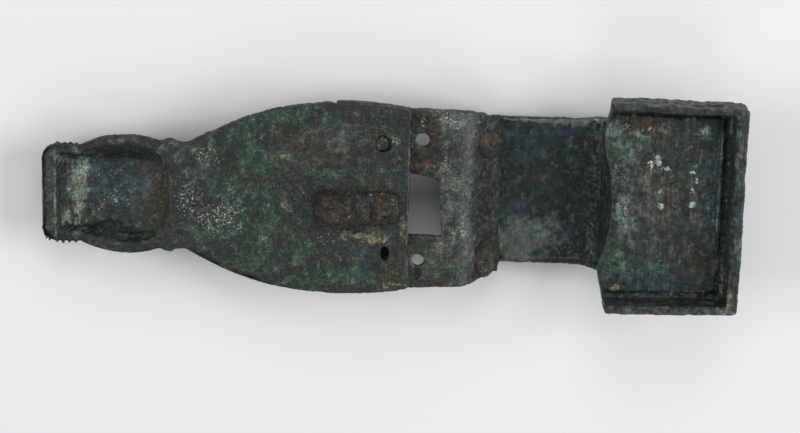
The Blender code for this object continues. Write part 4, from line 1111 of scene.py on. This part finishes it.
class BROOCH_OT_foot(Operator):
    """Build the leaf-shaped foot with its hollow animal-head terminal"""
    bl_idname = "brooch.foot"
    bl_label = "Foot and terminal"

    def execute(self, context):
        sizes, colours = context.scene.brooch_sizes, context.scene.brooch_colours
        cutters = [hollow_rings((-0.2, 0.0, 0.2, 0.4, 0.6, 0.78, 0.9, 0.97, 1.0))]
        cutters.append(drill_rings((*FOOT_RIVET, 0.0), RIVET_SHANK + 2 * GAP))
        cutters.append(drill_rings((*SLOT, 0.0), SLOT_LENGTH, stretch=SLOT_WIDTH / SLOT_LENGTH))
        rings = foot_rings(spread(TERMINAL_END_X, FOOT_BREAK_X, 0.33))
        cell = FOOT_CELLS * sizes.cell / MM
        steps = [("DIFFERENCE", cutter) for cutter in cutters]
        skin = Surface(fused("foot_casting", rings, steps, cell), seed=11, cell=cell)
        skin.settle()
        skin.stain(FOOT_STAINS_AND_PAINTED_LIGHT)
        skin.stain(TERMINAL_STAINS_AND_PAINTED_LIGHT, facing=0.1)
        skin.scatter("dust", 3.0, 0.3, 0.9, 0.3)
        skin.age_front()
        skin.lift(foot_wear(skin.points, skin.normals))
        skin.weather(sizes)
        # Cast bronze under malachite: to the eye a matt, grainy dark green with specks of lime
        bronze = patina("cast_bronze_green_patina", list(colours.foot), coats_of(colours, *FULL_COAT), 0.6)
        skin.finished("foot_casting", bronze, "foot")
        return {"FINISHED"}


class BROOCH_OT_joining_plate(Operator):
    """Build the bent bronze sheet of the old mend"""
    bl_idname = "brooch.joining_plate"
    bl_label = "Joining plate"

    def execute(self, context):
        sizes, colours = context.scene.brooch_sizes, context.scene.brooch_colours
        cutters = [levels(np.array(WINDOW), -20.0, 20.0)]
        cutters.append(drill_rings((*UPPER_HOLE, 0.0), UPPER_HOLE_SIZE))
        cutters.append(drill_rings((*LOWER_HOLE, 0.0), LOWER_HOLE_SIZE))
        cell = PLATE_CELLS * sizes.cell / MM
        steps = [("DIFFERENCE", cutter) for cutter in cutters]
        skin = Surface(fused("mending_plate", plate_rings(), steps, cell), seed=23, cell=cell)
        skin.settle()
        skin.stain(PLATE_STAINS_AND_PAINTED_LIGHT, facing=0.25)
        skin.stain(SLOPE_STAINS, facing=0.1)
        skin.raise_layer("bow", 1.3 * smooth(BEND_X - 0.5, BEND_X + 4.0, skin.points[:, 0]))
        skin.scatter("earth", 3.0, 0.35, 0.8, 0.5)
        skin.age_front()
        holes = ((*UPPER_HOLE, UPPER_HOLE_SIZE), (*LOWER_HOLE, LOWER_HOLE_SIZE))
        clear = [np.hypot(skin.points[:, 0] - x, skin.points[:, 1] - y) - size / 2 for x, y, size in holes]
        rim = plate_half_width(skin.points[:, 0] - BEND_X) - np.abs(skin.points[:, 1])
        outline = np.maximum(smooth(1.4, 0.6, rim), smooth(BEND_X - 1.0, BEND_X - 3.0, skin.points[:, 0]))
        skin.weather(sizes, 0.7, outline * smooth(0.5, 1.2, np.minimum(*clear)))
        # Hammered bronze sheet under a thin patina: to the eye smooth grey-green, softly shining at the bend
        coats = coats_of(colours, "bow", *FULL_COAT)
        sheet = patina("sheet_bronze_grey_patina", list(colours.sheet), coats, 0.46, 1.5, 2.4, 1.0, 0.02)
        skin.finished("mending_plate", sheet, "joining_plate")
        return {"FINISHED"}


class BROOCH_OT_head_and_bow(Operator):
    """Build the walled head-plate and the bow"""
    bl_idname = "brooch.head_and_bow"
    bl_label = "Head-plate and bow"

    def execute(self, context):
        sizes, colours = context.scene.brooch_sizes, context.scene.brooch_colours
        near, end = HEAD_START - 2 * HEAD_LOBE, HEAD_START + HEAD_LENGTH
        steps = [("DIFFERENCE", levels(head_outline(WALLS, near), 0.0, 2 * HEAD_WALL_HEIGHT))]
        floor = head_outline(WALLS, near)
        panel = head_outline([wall + GROOVE_WIDTH for wall in WALLS], near)
        for i in range(3):
            strip = np.array([floor[i], floor[i + 1], panel[i + 1], panel[i]])
            steps.append(("DIFFERENCE", levels(strip, -GROOVE_DEPTH, HEAD_WALL_HEIGHT / 2)))
        recess = head_outline([HEAD_FRAME_WIDTH] * 3, HEAD_START + HEAD_FRAME_WIDTH)
        steps.append(("DIFFERENCE", levels(recess, -2 * HEAD_FRAME_DEPTH, -HEAD_PANEL_THICKNESS)))
        for side in (0.5, -0.5):
            spot = (end - AXIS_HOLE_INSET, side * HEAD_FAR_WIDTH, AXIS_HOLE_Z)
            steps.append(("DIFFERENCE", drill_rings(spot, AXIS_HOLE_HEIGHT, "Y",
                                                    AXIS_HOLE_WIDTH / AXIS_HOLE_HEIGHT, 20.0)))
        steps.append(("UNION", bow_rings()))
        rings = levels(head_outline(), -HEAD_FRAME_DEPTH, HEAD_WALL_HEIGHT)
        cell = sizes.cell / MM
        skin = Surface(fused("head_and_bow_casting", rings, steps, cell), seed=37, cell=cell)
        skin.points = from_head_frame(skin.points)
        skin.find_normals()
        skin.settle()
        x, z = skin.points[:, 0], skin.points[:, 2]
        skin.stain(BOW_STAINS_AND_PAINTED_LIGHT)
        skin.raise_layer("bow", 1.2 * smooth(BEND_X + HEAD_START + 1.0, BEND_X + HEAD_START - 1.0, x))
        skin.stain(HEAD_STAINS_AND_PAINTED_LIGHT)
        skin.stain(WALL_STAINS_AND_PAINTED_LIGHT, facing=-0.3)
        skin.scatter("dust", 3.0, 0.3, 0.9, 0.3)
        skin.age_front()
        # Chips in the tops of the walls
        chips = smooth(0.1, 0.8, rough(skin.points, CHIP_GRAIN, seed=411)) * smooth(*WALL_TOPS, z)
        skin.lift(-CHIP_DEPTH * chips)
        side, far_end = np.abs(skin.points[:, 1]), BEND_X + HEAD_START + HEAD_LENGTH
        outline = smooth(*HEAD_SIDES, side)
        outline += smooth(*BOW_SIDES, side) * (x < BEND_X + HEAD_START - 4 * HEAD_LOBE)
        skin.weather(sizes, 1.0, np.maximum(outline, smooth(far_end - 1.5, far_end - 0.5, x)))
        # Cast bronze under a dense patina: to the eye smooth, blue-green in the bow and greyer in the head
        coats = coats_of(colours, "bow", *FULL_COAT, "paint")
        bronze = patina("cast_bronze_dark_patina", list(colours.bronze), coats, 0.46, 1.8, 1.8, 2.0, 0.03)
        skin.finished("head_and_bow_casting", bronze, "head_and_bow")
        return {"FINISHED"}


def rivet_profile(top, head_height, bottom):
    """Outline of a rivet from its upper end to its clenched end, as (radius, height)."""
    shank, head, foot = RIVET_SHANK / 2, RIVET_HEAD / 2, RIVET_FOOT / 2
    upper = [(0.01, top), (shank, top)]
    if head_height > 0.0:
        upper = [(0.01, top + head_height), (head * 0.55, top + head_height * 0.85),
                 (head, top + head_height * 0.3), (head, top - GAP), (shank, top - GAP)]
    return upper + [(shank, bottom + GAP), (foot, bottom + GAP),
                    (foot * 0.8, bottom - RIVET_FOOT_HEIGHT * 0.7), (0.01, bottom - RIVET_FOOT_HEIGHT)]


def rust_iron(skin, sizes):
    """Rust all over a small iron piece: lumps, and orange, dark and green places by noise."""
    skin.find_normals()
    skin.settle()
    for scattered in (("orange", 1.8, 0.2, 0.8, 0.4), ("soot", 1.4, 0.2, 0.8, 0.8),
                      ("green", 3.5, 0.3, 0.8, 0.7), ("haze", 2.8, 0.1, 0.7, 0.45),
                      ("dust", 1.6, 0.1, 0.8, 0.6)):
        skin.scatter(*scattered)
    skin.raise_layer("rust", 0.45)
    skin.weather(sizes, 1.6)


class BROOCH_OT_rivets(Operator):
    """Build the rusted iron rivets of the mend"""
    bl_idname = "brooch.rivets"
    bl_label = "Iron rivets"

    def execute(self, context):
        sizes, colours = context.scene.brooch_sizes, context.scene.brooch_colours
        iron, cell = iron_material(colours), IRON_CELLS * sizes.cell / MM
        bottom = -(PLATE_THICKNESS + BOW_THICKNESS + BOW_RIB_HEIGHT + 2 * GAP)
        place, reach = slope_point(BOW_RIVET_ALONG), BOW_WIDTH / 2 - BOW_RIVET_INSET
        c, s = math.cos(SLOPE_ANGLE), math.sin(SLOPE_ANGLE)
        for i, (name, node, side, crust) in enumerate((
                ("iron_rivet_upper", "bow_rivet_upper", reach, UPPER_CRUST),
                ("iron_rivet_lower", "bow_rivet_lower", -reach, LOWER_CRUST))):
            rings = turned_rings(rivet_profile(0.0, RIVET_HEAD_HEIGHT, bottom), RIVET_SIDES)
            lump = [(math.cos(a), math.sin(a)) for a in np.linspace(-1.5, 1.5, 15)]
            lump = turned_rings(lump, RIVET_SIDES) * crust + (0.0, -0.6 * i, 0.5)
            skin = Surface(fused(name, rings, [("UNION", lump)], cell), seed=61 + i, cell=cell)
            skin.points = skin.points @ np.array([[c, 0.0, -s], [0.0, 1.0, 0.0], [s, 0.0, c]])
            skin.points = from_head_frame(skin.points + (place[0], BOW_RIVET_Y + side, place[1]))
            rust_iron(skin, sizes)
            # Fresh rust that has run along one side
            streak = bell(skin.points[:, 1] - BOW_RIVET_Y - side - 1.4, 1.2) * (1.0, 0.35)[i]
            skin.raise_layer("orange", 1.1 * streak)
            skin.finished(name, iron, node)
        # The foot's rivet is swollen by rust and fills its hole
        profile = rivet_profile(FOOT_RIVET_TOP, 0.0, -(FOOT_THICKNESS + PLATE_THICKNESS + 2 * GAP))
        rings = turned_rings(profile, RIVET_SIDES) * (RUST_SWELL, RUST_SWELL, 1.0)
        skin = Surface(fused("foot_rivet_remains", rings, [], cell), seed=67, cell=cell)
        skin.points = skin.points + (FOOT_RIVET[0] - 0.2, FOOT_RIVET[1], 0.0)
        rust_iron(skin, sizes)
        skin.raise_layer("earth", 0.8)
        skin.finished("foot_rivet_remains", iron, "foot_rivet")
        return {"FINISHED"}


class BROOCH_OT_catch_stump(Operator):
    """Build the rusted stump of the catch"""
    bl_idname = "brooch.catch_stump"
    bl_label = "Catch stump"

    def execute(self, context):
        sizes, colours = context.scene.brooch_sizes, context.scene.brooch_colours
        cell = IRON_CELLS * sizes.cell / MM
        skin = Surface(fused("catch_remains", catch_rings(), [], cell), seed=53, cell=cell)
        # A deep pit and a knob of fresh rust near the tip
        pit = bell(np.hypot(skin.points[:, 0] + 2.1, skin.points[:, 1] + 3.0), 0.6)
        knob = bell(skin.points[:, 0] + 3.2, 1.2) * (skin.points[:, 1] > -3.2)
        skin.lift(-0.8 * pit * smooth(0.0, 0.4, skin.normals[:, 2]))
        rust_iron(skin, sizes)
        skin.raise_layer("soot", 1.3 * pit)
        skin.raise_layer("orange", 0.75 * knob)
        skin.finished("catch_remains", iron_material(colours), "catch_stump")
        return {"FINISHED"}


class BROOCH_OT_stage(Operator):
    """Set up the pale table, the studio lamps and the camera"""
    bl_idname = "brooch.stage"
    bl_label = "Table, lamps and camera"

    def execute(self, context):
        scene = context.scene
        colours, light = scene.brooch_colours, scene.brooch_light
        scene.view_settings.view_transform = "Standard"
        mesh = bpy.data.meshes.new("table")
        corners = ((-1, -1), (1, -1), (1, 1), (-1, 1))
        mesh.from_pydata([(x * TABLE_REACH, y * TABLE_REACH, -TABLE_DROP) for x, y in corners], [],
                         [(0, 1, 2, 3)])
        table = place_object("table", mesh)
        # Matt white card: an even pale tone without shine
        card = bpy.data.materials.new("matt_white_card")
        card.use_nodes = True
        shader = card.node_tree.nodes["Principled BSDF"]
        shader.inputs["Base Color"].default_value = colours.table
        shader.inputs["Roughness"].default_value = 0.9
        shader.inputs["Specular IOR Level"].default_value = 0.2
        mesh.materials.append(card)
        table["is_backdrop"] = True
        for name, place, power in (("lamp_left", (-0.75, 0.05, 0.5), light.left),
                                   ("lamp_right", (0.75, 0.05, 0.5), light.right),
                                   ("lamp_back", (0.0, 0.8, 0.7), light.back),
                                   ("lamp_front", (0.2, -0.8, 0.7), light.front)):
            data = bpy.data.lights.new(name, "AREA")
            data.shape, data.size, data.energy = "SQUARE", LAMP_SIZE, power
            lamp = place_object(name, data)
            lamp.location = place
            lamp.rotation_euler = Vector(place).to_track_quat("Z", "Y").to_euler()
        world = bpy.data.worlds.new("studio")
        world.use_nodes = True
        world.node_tree.nodes["Background"].inputs["Color"].default_value = (1.0, 1.0, 1.0, 1.0)
        world.node_tree.nodes["Background"].inputs["Strength"].default_value = light.fill
        scene.world = world
        data = bpy.data.cameras.new("camera")
        data.sensor_width = SENSOR_WIDTH
        data.lens = SENSOR_WIDTH * VIEW_DISTANCE / VIEW_WIDTH
        data.clip_start = 0.01
        camera = place_object("camera", data)
        rest = Matrix.Translation(REST_PLACE * MM) @ Matrix.Rotation(REST_PITCH, 4, "Y")
        camera.matrix_world = (rest @ Matrix.Translation(Vector(VIEW_TARGET) * MM)
                               @ Matrix.Rotation(VIEW_ROLL, 4, "Z") @ Matrix.Rotation(VIEW_TILT, 4, "X")
                               @ Matrix.Translation((0.0, 0.0, VIEW_DISTANCE * MM)))
        scene.camera = camera
        return {"FINISHED"}


class BROOCH_PT_panel(Panel):
    """Lists the pieces of the brooch with their sizes and colours"""
    bl_idname = "BROOCH_PT_panel"
    bl_label = "Fibula brooch"
    bl_space_type = "VIEW_3D"
    bl_region_type = "UI"
    bl_category = "Brooch"

    def draw(self, context):
        for operator in OPERATORS:
            self.layout.operator(operator.bl_idname)
        for group in (context.scene.brooch_sizes, context.scene.brooch_colours, context.scene.brooch_light):
            box = self.layout.box()
            for name in group.__annotations__:
                box.prop(group, name)


GROUPS = {"brooch_sizes": BroochSizes, "brooch_colours": BroochColours, "brooch_light": BroochLight}
OPERATORS = (BROOCH_OT_stage, BROOCH_OT_foot, BROOCH_OT_joining_plate, BROOCH_OT_head_and_bow,
             BROOCH_OT_rivets, BROOCH_OT_catch_stump)


def register():
    """Registers the classes and adds the settings to the scene."""
    for group in (*GROUPS.values(), *OPERATORS, BROOCH_PT_panel):
        bpy.utils.register_class(group)
    for name, group in GROUPS.items():
        setattr(bpy.types.Scene, name, PointerProperty(type=group))


def unregister():
    """Removes the settings and the classes."""
    for name in GROUPS:
        delattr(bpy.types.Scene, name)
    for group in (BROOCH_PT_panel, *reversed(OPERATORS), *reversed(list(GROUPS.values()))):
        bpy.utils.unregister_class(group)


def main():
    """Registers the add-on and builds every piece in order."""
    register()
    bpy.ops.brooch.stage()
    bpy.ops.brooch.foot()
    bpy.ops.brooch.joining_plate()
    bpy.ops.brooch.head_and_bow()
    bpy.ops.brooch.rivets()
    bpy.ops.brooch.catch_stump()
    boxes = {"cad": CAD_BOX, "visual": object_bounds()}
    boxes = {name: [[float(v) for v in corner] for corner in box] for name, box in boxes.items()}


if __name__ == "__main__":
    main()
